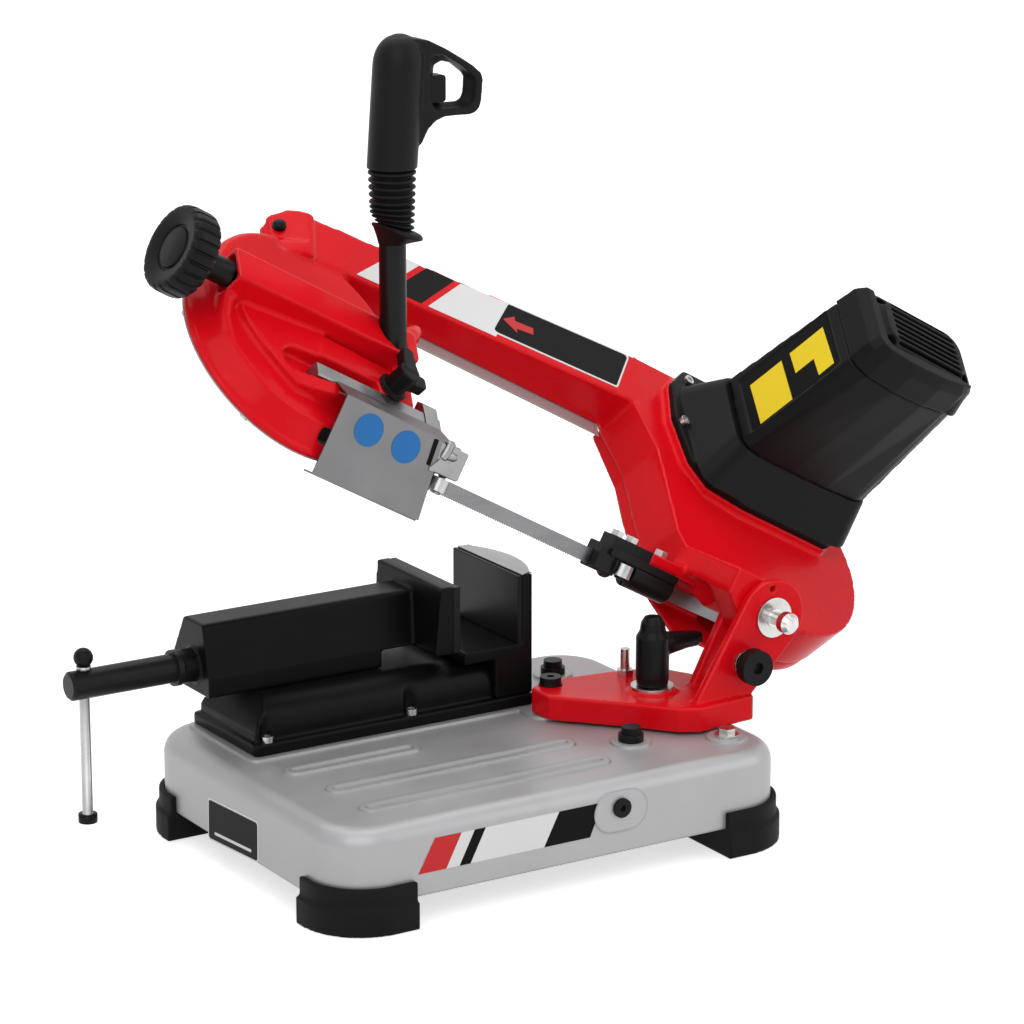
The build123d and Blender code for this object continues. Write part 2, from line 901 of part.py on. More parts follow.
# Swivel bracket: a thick plate on the base with a fork of two cheeks
cheek_front_back = cheek_front_face + cheek_thick
cheek_rear_front = cheek_front_back + fork_gap
cheek_rear_back = cheek_rear_front + cheek_thick
plate_low = deck + sliding_gap
plate_points = [
    (swivel_x - 20, swivel_y - 1),
    (swivel_x - 19, swivel_y - 27),
    (118, -55),
    (148, -92),
    (164, -101),
    (plate_right, cheek_front_face - 6),
    (plate_right, cheek_rear_back + 4),
    (196, 14),
    (154, 24),
    (swivel_x - 2, swivel_y + 13),
]
lever_spot = (lever_x, lever_y)
down_stop_spot = (down_stop_x, down_stop_y)
pivot_spot = (pivot_x, pivot_z)
plunger_spot = (plunger_x, plunger_z)
lever_seat = plate_top + pad_rise
with BuildPart() as bracket:
    plate(Plane.XY.offset(plate_low), plate_points, plate_top - plate_low, plate_round)
    rod(Plane.XY.offset(plate_top - root), lever_spot, lever_boss, root + pad_rise)
    for y, top_round, foot_left in (
        (cheek_front_back, cheek_round, cheek_foot),
        (cheek_rear_back, rear_cheek_round, rear_cheek_foot),
    ):
        with BuildSketch(front_plane(y)) as cheek:
            with BuildLine():
                CenterArc(pivot_spot, top_round, 0, 360)
                Line((foot_left, plate_top - 2 * root), (plate_right - root, plate_top - 2 * root))
            make_hull()
        extrude(cheek.sketch, amount=cheek_thick)
        rod(front_plane(y), pivot_spot, pivot_bolt + running_gap, cheek_thick, mode=Mode.SUBTRACT)
    eye_spot = (pivot_x, pivot_z + (pivot_washer + cheek_round) / 2)
    for hole_spot, radius in ((eye_spot, cheek_eye), (plunger_spot, plunger_barrel + running_gap)):
        rod(front_plane(cheek_front_back), hole_spot, radius, cheek_thick, mode=Mode.SUBTRACT)
    for hole_spot, radius in (
        ((swivel_x, swivel_y), swivel_bolt),
        (lever_spot, lever_stud),
        (down_stop_spot, stop_bolt),
    ):
        rod(Plane.XY.offset(plate_low), hole_spot, radius + running_gap, plate_top, mode=Mode.SUBTRACT)
save(bracket, "swivel_bracket")

with BuildPart() as washers:
    tube(Plane.XY.offset(lever_seat), lever_spot, washer_radius, lever_stud + running_gap, washer_thick)
    tube(front_plane(cheek_front_face), pivot_spot, pivot_washer, pivot_bolt + running_gap, washer_thick)
save(washers, "bracket_washers")

lever_low = lever_seat + washer_thick + sliding_gap
lever_mid = lever_low + lever_rise
with BuildPart() as lever:
    lever_plane = Plane(origin=(lever_x, lever_y, 0), x_dir=(1, 0, 0), z_dir=(0, -1, 0))
    turned(
        lever_plane,
        [
            (0, lever_low),
            (lever_body - 1, lever_low),
            (lever_body, lever_low + 8),
            (lever_body, lever_mid + 8),
            (lever_body - 3, lever_mid + 13),
            (lever_body - 4, lever_mid + 20),
            (lever_body / 2, lever_mid + 25),
            (0, lever_mid + 26),
        ],
        (0, 0, 1),
    )
    grip_levels = []
    for reach, half_height, half_width in ((0, 10, 10), (lever_reach, 5, 6)):
        with BuildSketch(Plane.YZ.offset(lever_x + reach)) as outline:
            with Locations((lever_y, lever_mid)):
                RectangleRounded(2 * half_width, 2 * half_height, 4)
        grip_levels.append(outline.sketch.faces()[0])
    loft(grip_levels, ruled=True)
    rod(Plane.XY.offset(lever_low), lever_spot, lever_stud, plate_low + root - lever_low)
    hexagon(Plane.XY.offset(lever_mid + 27), lever_spot, cap_hex, -cap_hex, mode=Mode.SUBTRACT)
save(lever, "lock_lever")

with BuildPart() as down_stop:
    rod(Plane.XY.offset(plate_low + root), down_stop_spot, stop_bolt, plate_top + down_stop_rise - plate_low)
    hexagon(Plane.XY.offset(plate_top), down_stop_spot, hex_flats, cap_head)
save(down_stop, "down_stop_stud")

# Pivot of the arm: a bolt through both cheeks, with a washer and a domed nut
bolt_end = cheek_rear_back + washer_thick
stud_start = cheek_front_face - washer_thick - root
nut_start = stud_start - pivot_stud_length + root
with BuildPart() as pivot_pin:
    rod(front_plane(bolt_end), pivot_spot, pivot_bolt, bolt_end - stud_start)
    rod(front_plane(stud_start + root), pivot_spot, pivot_stud, pivot_stud_length + root)
    turned(
        Plane(origin=(pivot_x, nut_start, pivot_z), x_dir=(1, 0, 0), z_dir=(0, 0, 1)),
        [(0, 0), (pivot_nut, 0), (pivot_nut, -7), (pivot_nut - 3, -11), (0, -12)],
        (0, 1, 0),
    )
save(pivot_pin, "pivot_bolt")

knob_seat = cheek_front_face - plunger_pin - sliding_gap
with BuildPart() as plunger_sleeve:
    sleeve_bore = plunger_pin + running_gap
    sleeve_length = cheek_thick + plunger_pin
    tube(front_plane(cheek_front_back), plunger_spot, plunger_barrel, sleeve_bore, sleeve_length)
    tube(front_plane(cheek_front_face), plunger_spot, plunger_ring, sleeve_bore, washer_thick)
save(plunger_sleeve, "plunger_sleeve")

with BuildPart() as plunger:
    stem_end = knob_seat - root
    rod(front_plane(cheek_front_back), plunger_spot, plunger_pin, cheek_front_back - stem_end)
    rod(front_plane(knob_seat), plunger_spot, plunger_barrel + root, plunger_barrel)
    rod(front_plane(knob_seat - cap_head), plunger_spot, plunger_grip, 2 * cap_head)
    knob_face = front_plane(knob_seat - 3 * cap_head)
    rod(knob_face, plunger_spot, cap_head, -plunger_pin, mode=Mode.SUBTRACT)
save(plunger, "plunger_knob")

# Arm frame: drive housing, beam and idler dome in one casting, with the tongue of the pivot
dome_radius = wheel_radius + dome_margin
dome_x = idler_x - dome_shift
dome_y = wheel_radius - dome_drop
well_radius = wheel_radius + well_margin
drive_shell = wheel_radius + shell_margin
return_run = 2 * wheel_radius
beam_low = return_run - beam_below
beam_left_top = return_run + beam_left_rise
beam_right_top = return_run + beam_right_rise
beam_end = idler_x - beam_reach
ridge_left = idler_x - wheel_radius - ridge_reach
ridge_right = idler_x + ridge_tail
ridge_low = wheel_radius - ridge_half + ridge_lean
ridge_high = wheel_radius + ridge_half + ridge_lean
motor_y = wheel_radius + motor_rise
gear_span = sqrt((motor_x - drive_x) ** 2 + motor_rise**2)
centre_fast = module_fast * (teeth_pinion + teeth_fast) / 2
centre_slow = module_slow * (teeth_small + teeth_drive) / 2
along = (centre_slow**2 - centre_fast**2 + gear_span**2) / (2 * gear_span)
aside = sqrt(centre_slow**2 - along**2)
to_motor = ((motor_x - drive_x) / gear_span, motor_rise / gear_span)
mid_x = drive_x + to_motor[0] * along - to_motor[1] * aside
mid_y = wheel_radius + to_motor[1] * along + to_motor[0] * aside
drive_spot = (drive_x, wheel_radius)
idler_spot = (idler_x, wheel_radius)
mid_spot = (mid_x, mid_y)
motor_spot = (motor_x, motor_y)
gear_floor = plate_face + gear_plate_thick
gear_roof = gear_floor + gear_width + root
bar_left = idler_x + bar_start
bar_high = bar_low + bar_width
bar_floor = dome_face + sliding_gap
bar_top = bar_floor + bar_height
guide_right = idler_x + wheel_radius + guide_offset
clamp_x = idler_x + clamp_offset
clamp_y = bar_low + clamp_rise
wall_right = clamp_x + clamp_wall
guide_axis = guide_lift - blade_drop
lug_low = guide_axis + right_guide_radius
lug_top = lug_low + lug_thick
guide_bolt_spots = [right_guide_far - 2, right_guide_far + 14, right_guide_near - 18]
tongue_front = cheek_front_back + sliding_gap
tongue_back = cheek_rear_front - sliding_gap
handle_foot = spot(ridge_right - handle_along - tube_radius, wheel_radius - handle_across, handle_seat)
handle_spot = (handle_foot.X, handle_foot.Y)
cover_bolt_spots = [
    (-15, motor_y + 56),
    (-33, motor_y),
    (40, motor_y + 61),
    (110, motor_y + 61),
]
drive_outline = [
    (-76, beam_low + 3),
    (-56, wheel_radius + 42),
    (-53, wheel_radius - 47),
    (-42, 18),
    (-16, -9),
    (drive_x, wheel_radius - drive_shell),
    (drive_x + 40, wheel_radius),
    (drive_x + 68, return_run + 4),
    (drive_x + 36, return_run + 50),
    (-76, beam_right_top),
]
cover_outline = [
    (-16, motor_y + 69),
    (-34, motor_y + 47),
    (-40, motor_y + 5),
    (-31, motor_y - 41),
    (-13, motor_y - 62),
    (27, motor_y - 67),
    (131, motor_y - 67),
    (152, motor_y - 40),
    (152, motor_y + 35),
    (118, motor_y + 69),
]

with BuildPart() as arm_frame:
    plate(wheel_plane(drive_back), drive_outline, face_height - drive_back, plate_round)
    rod(wheel_plane(drive_back), drive_spot, drive_shell, face_height - drive_back)
    plate(wheel_plane(face_height - root), cover_outline, pad_face - face_height + root, flange_round)
    plate(
        wheel_plane(arm_back),
        [
            (beam_end, beam_low),
            (beam_join, beam_low),
            (beam_join, beam_right_top),
            (beam_end + beam_corner, beam_left_top),
            (beam_end, beam_left_top - beam_corner),
        ],
        face_height - arm_back,
    )
    plate(
        axis_plane(0, beam_right_top + root),
        [
            (beam_end - root, beam_left_face),
            (beam_join, face_height),
            (beam_join, face_height + root),
            (beam_end - root, face_height + root),
        ],
        beam_right_top - beam_low + 2 * root,
        mode=Mode.SUBTRACT,
    )
    turned(
        axis_plane(dome_x, dome_y),
        [
            (0, arm_back),
            (dome_radius, arm_back),
            (dome_radius, arm_back + dome_rim),
            (dome_radius - dome_slope / 6, arm_back + dome_rim * 1.5),
            (dome_radius - dome_slope, dome_face),
            (0, dome_face),
        ],
        wheel_axis,
    )
    turned(
        axis_plane(idler_x, wheel_radius),
        [
            (0, arm_back),
            (well_radius, arm_back),
            (well_radius, dome_face - dome_rim),
            (well_radius - dome_rim, dome_face),
            (0, dome_face),
        ],
        wheel_axis,
    )
    # Ridge of the tension slide and the walls that hold the guide bar
    block(
        wheel_plane(dome_face - root),
        (ridge_left, ridge_low),
        (ridge_right, ridge_high),
        ridge_face - dome_face + root,
        ridge_round,
    )
    block(
        wheel_plane(dome_face - root),
        (idler_x - bar_wall / 2, bar_high + sliding_gap),
        (wall_right, ridge_low + 2 * root),
        bar_top - dome_face + root,
    )
    block(
        wheel_plane(dome_face - root),
        (idler_x + root, bar_low - bar_wall),
        (wall_right, bar_low - sliding_gap),
        bar_top - dome_face + root,
    )
    # Tongue between the cheeks, and the web that carries it
    with BuildSketch(blade_plane(tongue_back)) as tongue:
        with BuildLine():
            CenterArc((0, 0), tongue_round, 0, 360)
            Polyline(
                (web_left, web_low),
                (web_right, web_low),
                (web_right, web_high),
                (web_left, web_high),
                close=True,
            )
        make_hull()
    extrude(tongue.sketch, amount=tongue_back - tongue_front)
    block(blade_plane(web_back), (web_left, web_low), (web_right, web_high), web_back - tongue_back)
    # Lug over the right blade guide
    block(blade_plane(blade_y + lug_half), (lug_left, lug_low), (lug_right, lug_top), 2 * lug_half)
    # Wells for the wheels, the gears and the back run of the band
    well = wheel_radius + band_thickness + well_room
    well_roof = dome_face - shell_wall
    rod(wheel_plane(drive_back), drive_spot, well, plate_face - drive_back, mode=Mode.SUBTRACT)
    rod(wheel_plane(arm_back), idler_spot, well, well_roof - arm_back, mode=Mode.SUBTRACT)
    turned(
        axis_plane(dome_x, dome_y),
        [
            (0, arm_back),
            (dome_radius - shell_wall, arm_back),
            (dome_radius - 1.5 * shell_wall, arm_back + dome_rim),
            (dome_radius - dome_slope - shell_wall, well_roof),
            (0, well_roof),
        ],
        wheel_axis,
        mode=Mode.SUBTRACT,
    )
    block(
        wheel_plane(arm_back),
        (idler_x, return_run - well_room),
        (drive_x, return_run + run_room),
        run_face - arm_back,
        mode=Mode.SUBTRACT,
    )
    block(
        wheel_plane(drive_back),
        (exit_left, exit_low),
        (drive_x, exit_high),
        plate_face - drive_back,
        mode=Mode.SUBTRACT,
    )
    block(
        wheel_plane(arm_back),
        (idler_x, idler_exit_low),
        (ridge_right + exit_high, exit_high),
        well_roof - arm_back,
        mode=Mode.SUBTRACT,
    )
    gear_room = gear_roof - gear_floor
    drive_room = module_slow * (teeth_drive / 2 + tooth_tip) + gear_gap
    small_room = module_slow * (teeth_small / 2 + tooth_tip) + gear_gap
    rod(wheel_plane(plate_face), drive_spot, gear_plate, gear_plate_thick, mode=Mode.SUBTRACT)
    rod(wheel_plane(gear_floor), drive_spot, drive_room, gear_room, mode=Mode.SUBTRACT)
    rod(wheel_plane(gear_floor), mid_spot, small_room, gear_room, mode=Mode.SUBTRACT)
    rod(wheel_plane(gear_roof), drive_spot, drive_bearing + running_gap, bearing_width, mode=Mode.SUBTRACT)
    rod(wheel_plane(gear_roof), mid_spot, mid_shaft + running_gap, pad_face, mode=Mode.SUBTRACT)
    rod(wheel_plane(pad_face), motor_spot, pinion_room, -shell_wall, mode=Mode.SUBTRACT)
    # Room for the tension slide and its screw
    block(
        wheel_plane(well_roof - root),
        (ridge_left + ridge_end, wheel_radius - carriage_half - sliding_gap),
        (
            idler_x + carriage_length / 2 + tension_slack + root,
            wheel_radius + carriage_half + sliding_gap,
        ),
        ridge_face - shell_wall - well_roof + root,
        mode=Mode.SUBTRACT,
    )
    rod(
        Plane(origin=spot(ridge_left - root, wheel_radius, screw_height), z_dir=-arm_dir),
        (0, 0),
        tension_screw + running_gap,
        ridge_end + 2 * root,
        mode=Mode.SUBTRACT,
    )
    # Bores for the pivot, the screws, the handle tube and the clamp stud
    rod(blade_plane(tongue_back), (0, 0), pivot_bolt + running_gap, fork_gap, mode=Mode.SUBTRACT)
    rod(blade_plane(tongue_back), (0, 0), spring_radius + running_gap, spring_width, mode=Mode.SUBTRACT)
    for spot_xy in cover_bolt_spots:
        rod(wheel_plane(pad_face), spot_xy, small_bolt + running_gap, -bolt_depth, mode=Mode.SUBTRACT)
    lug_bolt = up_plane(guide_bolt_spots[-1], blade_y, lug_top)
    rod(lug_bolt, (0, 0), small_bolt + running_gap, -lug_thick, mode=Mode.SUBTRACT)
    rod(
        Plane.XY.offset(handle_foot.Z),
        handle_spot,
        tube_radius + running_gap,
        tube_length,
        mode=Mode.SUBTRACT,
    )
    clamp_hole = wheel_plane(bar_top + root)
    rod(clamp_hole, (clamp_x, clamp_y), clamp_stud + running_gap, -bar_height, mode=Mode.SUBTRACT)
save(arm_frame, "arm_frame")

# Covers behind the arm
with BuildPart() as rear_cover:
    cover_plane = wheel_plane(arm_back)
    rod(cover_plane, (dome_x, dome_y), dome_radius - root, -cover_sheet)
    rod(cover_plane, idler_spot, well_radius - root, -cover_sheet)
    block(cover_plane, (idler_x, beam_low - bar_wall), (-80, beam_left_top - bolt_rim), -cover_sheet)
save(rear_cover, "rear_cover")

dish_low = drive_back - rear_dish
dish_inner = dish_low + shell_wall
with BuildPart() as drive_cover:
    rod(wheel_plane(drive_back), drive_spot, drive_shell - root, -rear_dish)
    dish_edges = drive_cover.edges().filter_by(GeomType.CIRCLE)
    dish_edges = dish_edges.sort_by(Axis((0, 0, 0), tuple(wheel_axis)))
    fillet(dish_edges[-1], dish_groove)
    dish_edges = drive_cover.edges().filter_by(GeomType.CIRCLE)
    dish_edges = dish_edges.sort_by(Axis((0, 0, 0), tuple(wheel_axis)))
    fillet(dish_edges[0], dish_round)
    plate(
        wheel_plane(drive_back),
        [
            (-70, return_run + 2),
            (-54, wheel_radius + 42),
            (-51, wheel_radius - 47),
            (-40, 14),
            (-18, -16),
            (drive_x, wheel_radius - drive_shell),
            (drive_x, return_run + 10),
            (-40, return_run + 10),
        ],
        plate_round - rear_dish,
        plate_round,
    )
    dish_well = wheel_radius + band_thickness + 2 * root
    rod(wheel_plane(drive_back), drive_spot, dish_well, dish_inner - drive_back, mode=Mode.SUBTRACT)
    block(
        wheel_plane(drive_back),
        (exit_left, exit_low),
        (drive_x, exit_high),
        plate_round - rear_dish + shell_wall,
        mode=Mode.SUBTRACT,
    )
    hub_wall = drive_bearing + shell_wall
    rod(wheel_plane(dish_inner - root), drive_spot, hub_wall, bearing_width + root)
    bearing_seat = drive_bearing + running_gap
    rod(wheel_plane(dish_inner), drive_spot, bearing_seat, bearing_width, mode=Mode.SUBTRACT)
save(drive_cover, "drive_rear_cover")

# Saw band: arcs on the wheels, a straight back run, and a cutting run twisted upright
straight_left = guide_right - guide_length - band_margin
straight_right = right_guide_near + 2 * root
with BuildPart() as band:
    for centre, keep_left in ((idler_spot, True), (drive_spot, False)):
        with BuildSketch(wheel_plane(-band_height / 2)) as arc:
            with Locations(centre):
                Circle(wheel_radius + band_thickness)
                Circle(wheel_radius, mode=Mode.SUBTRACT)
            shift = wheel_radius if keep_left else -wheel_radius
            with Locations((centre[0] + shift, centre[1])):
                Rectangle(2 * wheel_radius, 3 * wheel_radius, mode=Mode.SUBTRACT)
        extrude(arc.sketch, amount=band_height)
    block(
        wheel_plane(-band_height / 2),
        (idler_x, return_run),
        (drive_x, return_run + band_thickness),
        band_height,
    )
    for wheel_end, lead_end, straight_end in (
        (idler_x, idler_x + band_lead, straight_left),
        (drive_x, drive_x - band_lead, straight_right),
    ):
        block(
            wheel_plane(-band_height / 2),
            (min(wheel_end, lead_end), -band_thickness),
            (max(wheel_end, lead_end), 0),
            band_height,
        )
        ends = []
        for x, width_dir in ((lead_end, wheel_axis), (straight_end, arm_up)):
            lower = side * (-band_thickness / 2) if x == lead_end else Vector(0, 0, 0)
            end_plane = Plane(origin=spot(x, 0, 0) + lower, x_dir=width_dir, z_dir=-arm_dir)
            with BuildSketch(end_plane) as strip:
                Rectangle(band_height, band_thickness)
            ends.append(strip.sketch.faces()[0])
        loft(ends, ruled=True)
    back_edge = -blade_drop + band_height / 2
    teeth_edge = -blade_drop - band_height / 2
    tooth_count = int((straight_right - straight_left) / tooth_pitch)
    pitch = (straight_right - straight_left) / tooth_count
    teeth_line = [(straight_left, back_edge), (straight_right, back_edge)]
    for i in range(tooth_count):
        teeth_line.append((straight_right - i * pitch, teeth_edge))
        teeth_line.append((straight_right - (i + tooth_rake) * pitch, teeth_edge + tooth_depth))
    teeth_line.append((straight_left, teeth_edge))
    plate(blade_plane(blade_y + band_thickness / 2), teeth_line, band_thickness)
save(band, "saw_band")

# Wheels
rim_outer = wheel_radius - band_gap
rim_inner = wheel_radius - wheel_rim
web_plane = wheel_plane(-wheel_web / 2)
with BuildPart() as drive_wheel:
    tube(wheel_plane(-wheel_half), drive_spot, rim_outer, rim_inner, 2 * wheel_half)
    tube(web_plane, drive_spot, rim_inner + root, drive_shaft + press_gap, wheel_web)
    tube(wheel_plane(-wheel_half), drive_spot, drive_hub, drive_shaft + press_gap, 2 * wheel_half)
    ring_of_holes(web_plane, drive_spot, wheel_holes, hole_ring, hole_radius, wheel_web)
save(drive_wheel, "drive_wheel")

with BuildPart() as idler_wheel:
    tube(wheel_plane(-wheel_half), idler_spot, rim_outer, rim_inner, 2 * wheel_half)
    tube(web_plane, idler_spot, rim_inner + root, bearing_outer + running_gap, wheel_web)
    tube(wheel_plane(-wheel_half), idler_spot, idler_hub, bearing_outer + running_gap, 2 * wheel_half)
    ring_of_holes(web_plane, idler_spot, wheel_holes, hole_ring, hole_radius, wheel_web)
save(idler_wheel, "idler_wheel")

with BuildPart() as idler_bearings:
    for low in (-wheel_half + sliding_gap, sliding_gap):
        bearing = wheel_half - 2 * sliding_gap
        tube(wheel_plane(low), idler_spot, bearing_outer, idler_shaft + press_gap, bearing)
save(idler_bearings, "idler_bearings")

# Tension slide: a carriage in the ridge that holds the idler's shaft, drawn by the knob's screw
carriage_low = dome_face + sliding_gap
carriage_top = ridge_face - shell_wall - sliding_gap
carriage_left = idler_x - carriage_length / 2
carriage_right = idler_x + carriage_length / 2
screw_in = carriage_length / 4
with BuildPart() as carriage:
    block(
        wheel_plane(carriage_low),
        (carriage_left, wheel_radius - carriage_half),
        (carriage_right, wheel_radius + carriage_half),
        carriage_top - carriage_low,
    )
    shaft_low = wheel_plane(-wheel_half - sliding_gap)
    shaft_collar = wheel_half + sliding_gap
    rod(wheel_plane(shaft_collar), idler_spot, carriage_half - root, carriage_low + root - shaft_collar)
    rod(shaft_low, idler_spot, idler_shaft, 2 * shaft_collar + root)
    rod(shaft_low, idler_spot, idler_shaft + washer_thick, -2 * root)
    tension_plane = Plane(origin=spot(carriage_left, wheel_radius, screw_height), z_dir=-arm_dir)
    screw_hole = tension_screw + running_gap
    rod(tension_plane, (0, 0), screw_hole, screw_in + tension_slack + root, mode=Mode.SUBTRACT)
save(carriage, "tension_carriage")

knob_start = ridge_left - sliding_gap
with BuildPart() as knob:
    neck_plane = Plane(origin=spot(knob_start, wheel_radius, screw_height), z_dir=arm_dir)
    knob_plane = neck_plane.offset(knob_neck)
    rod(neck_plane, (0, 0), knob_stem, knob_neck)
    rod(knob_plane, (0, 0), knob_dish, -knob_edge * 2)
    rod(knob_plane, (0, 0), knob_radius, knob_length)
    chamfer(knob.edges().group_by(Axis((0, 0, 0), tuple(arm_dir)))[-1], knob_edge)
    with BuildSketch(knob_plane) as flutes:
        with PolarLocations(knob_radius + root, knob_flutes):
            Circle(flute_radius)
    extrude(flutes.sketch, amount=knob_length - knob_edge, mode=Mode.SUBTRACT)
    rod(knob_plane.offset(knob_length), (0, 0), knob_dish, -knob_edge / 2, mode=Mode.SUBTRACT)
    rod(neck_plane, (0, 0), tension_screw, knob_start - carriage_left - screw_in)
save(knob, "tension_knob")

# Left blade guide: a bar that slides in the arm, a block with two rollers, and a sheet guard
bar_end = guide_right - 2 * roller_inset
with BuildPart() as guide_bar:
    block(wheel_plane(bar_floor), (bar_left, bar_low), (bar_end, bar_high), bar_height)
    chamfer(guide_bar.edges().filter_by(Axis((0, 0, 0), tuple(arm_dir))), root)
save(guide_bar, "guide_bar")

guide_left = guide_right - guide_length
guard_left = guide_right - guard_start
guard_right = guide_right - guard_end
guard_fold = guard_right - guard_slant
guard_back = blade_y - guard_front + guard_sheet
roller_spread = roller_radius + roller_gap + band_thickness / 2
roller_low = -blade_drop - band_height / 2 + 1.5
roller_high = -blade_drop + band_height / 2 - 0.5
block_low = roller_high + 2 * root
block_top = guard_top - guard_sheet
left_roller_x = guide_right - roller_inset


def roller_pins(x, top):
    """Two pins, one on each side of the band, that carry the guide rollers."""
    for sign in (-1, 1):
        pin_top = up_plane(x, blade_y + sign * roller_spread, top)
        rod(pin_top, (0, 0), pin_radius, roller_low - 2 * root - top)
        rod(pin_top.offset(roller_low - sliding_gap - top), (0, 0), pin_flange, -2 * root)


def roller(x, sign):
    """One hardened guide roller beside the band."""
    tube(
        up_plane(x, blade_y + sign * roller_spread, roller_low),
        (0, 0),
        roller_radius,
        pin_radius + running_gap,
        roller_high - roller_low,
    )


with BuildPart() as guide_block:
    block(
        blade_plane(blade_y + guide_back),
        (guide_left, block_low),
        (guide_right, block_top),
        blade_y + guide_back - guard_back,
        2 * root,
    )
    block(
        blade_plane(post_back),
        (guide_left + post_inset, block_top - post_inset),
        (bar_end - 2 * root, post_top),
        post_back - post_front,
    )
    block(
        wheel_plane(bar_floor - press_gap),
        (bar_left, bar_low - press_gap),
        (bar_end + 2 * root, bar_high + press_gap),
        bar_height + 2 * press_gap,
        mode=Mode.SUBTRACT,
    )
    roller_pins(left_roller_x, block_top)
    for sign in (-1, 1):
        pin_nut = up_plane(left_roller_x, blade_y + sign * roller_spread, block_top)
        hexagon(pin_nut, (0, 0), 2 * pin_flange, pin_radius)
save(guide_block, "left_guide_block")

with BuildPart() as left_front_roller:
    roller(left_roller_x, -1)
save(left_front_roller, "left_front_roller")

with BuildPart() as left_back_roller:
    roller(left_roller_x, 1)
save(left_back_roller, "left_back_roller")

with BuildPart() as guard:
    plate(
        blade_plane(guard_back),
        [
            (guard_left, guard_bottom),
            (guard_right, guard_bottom + guard_sheet),
            (guard_fold, guard_top),
            (guard_left, guard_top),
        ],
        guard_sheet,
    )
    fold = guard_front - guard_lip - guard_sheet / 2
    block(
        blade_plane(blade_y - guard_lip),
        (guard_left, guard_top - guard_sheet),
        (guard_fold, guard_top),
        fold,
    )
    block(
        blade_plane(blade_y - guard_lip),
        (guard_left, guard_bottom),
        (guard_right - 2 * root, guard_bottom + guard_sheet),
        fold,
    )
save(guard, "blade_guard")

clamp_spot = (clamp_x, clamp_y)
clamp_floor = bar_top + sliding_gap
with BuildPart() as clamp_lever:
    rod(wheel_plane(clamp_floor), clamp_spot, clamp_washer, 2 * root)
    rod(wheel_plane(clamp_floor + root), clamp_spot, clamp_body, clamp_height)
    rod(wheel_plane(clamp_floor), clamp_spot, clamp_stud, root - bar_height)
    plate(
        wheel_plane(ridge_face + root),
        [
            (clamp_x - 7, clamp_y),
            (clamp_x + 7, clamp_y),
            (clamp_x + 5, clamp_y + clamp_wing),
            (clamp_x - 5, clamp_y + clamp_wing),
        ],
        clamp_body,
        ridge_round,
    )
    plate(
        wheel_plane(clamp_floor + clamp_body),
        [
            (clamp_x, clamp_y + 8),
            (clamp_x, clamp_y - 8),
            (clamp_x + 20, clamp_y - 7),
            (clamp_x + 20, clamp_y + 5),
        ],
        clamp_body,
        ridge_round,
    )
save(clamp_lever, "guide_clamp_lever")

# Right blade guide: a fixed round holder against the arm's lug, with two rollers
holder_length = right_guide_near - right_guide_far
holder_end = right_guide_far - roller_inset
guide_bolt_hole = 1.5 * lug_thick
with BuildPart() as right_guide:
    rod(cross_plane(right_guide_near), (-blade_y, guide_axis), right_guide_radius, holder_length)
    block(
        cross_plane(right_guide_near),
        (-blade_y - right_guide_radius, block_low),
        (-blade_y + right_guide_radius, lug_low),
        right_guide_near - holder_end,
    )
    block(
        cross_plane(lug_left),
        (-blade_y - lug_half, lug_low - root),
        (-blade_y + lug_half, lug_top),
        lug_left - holder_end,
    )
    block(
        cross_plane(right_guide_far),
        (-blade_y - lug_thick, guide_axis - lug_thick),
        (-blade_y + lug_thick, lug_low),
        right_block,
        2 * root,
    )
    block(
        cross_plane(right_guide_near + root),
        (-blade_y - band_slot, guide_axis - 2 * right_guide_radius),
        (-blade_y + band_slot, roller_high + root),
        holder_length + 2 * right_block,
        mode=Mode.SUBTRACT,
    )
    roller_room = roller_radius + 2 * root
    block(
        cross_plane(right_rollers + roller_room),
        (-blade_y - 2 * roller_room, guide_axis - 2 * right_guide_radius),
        (-blade_y + 2 * roller_room, roller_high + root / 2),
        2 * roller_room,
        mode=Mode.SUBTRACT,
    )
    roller_pins(right_rollers, lug_low)
    for x in guide_bolt_spots:
        bolt_plane = up_plane(x, blade_y, lug_top)
        rod(bolt_plane, (0, 0), small_bolt + running_gap, -guide_bolt_hole, mode=Mode.SUBTRACT)
save(right_guide, "right_guide_holder")

with BuildPart() as right_front_roller:
    roller(right_rollers, -1)
save(right_front_roller, "right_front_roller")

with BuildPart() as right_back_roller:
    roller(right_rollers, 1)
save(right_back_roller, "right_back_roller")

with BuildPart() as guide_bolts:
    bolt_planes = [up_plane(x, blade_y, lug_top) for x in guide_bolt_spots]
    hex_bolts(bolt_planes, lug_thick, cap_head, small_bolt, guide_bolt_hole - root)
save(guide_bolts, "right_guide_bolts")

# Drive train: motor pinion, intermediate pair and the gear on the drive wheel's shaft
mesh_slow = degrees(atan2(mid_y - wheel_radius, mid_x - drive_x))
mesh_fast = degrees(atan2(motor_y - mid_y, motor_x - mid_x))
slow_low = gear_floor + root / 2
fast_low = pad_face + 2 * root
pinion_low = fast_low - root / 2
with BuildPart() as drive_gear:
    gear(wheel_plane(slow_low), drive_spot, teeth_drive, module_slow, gear_width, mesh_slow)
    rod(wheel_plane(dish_inner), drive_spot, drive_shaft, gear_roof + bearing_width - dish_inner)
    ring_of_holes(wheel_plane(slow_low), drive_spot, wheel_holes, gear_ring, gear_hole, gear_width)
save(drive_gear, "drive_gear")

with BuildPart() as plate_disc:
    disc_plane = wheel_plane(plate_face)
    rod(disc_plane, drive_spot, gear_plate - running_gap, gear_plate_thick)
    rod(disc_plane, drive_spot, drive_shaft + root, gear_plate_thick, mode=Mode.SUBTRACT)
    rod(disc_plane, mid_spot, mid_shaft + running_gap, gear_plate_thick, mode=Mode.SUBTRACT)
save(plate_disc, "gear_plate")

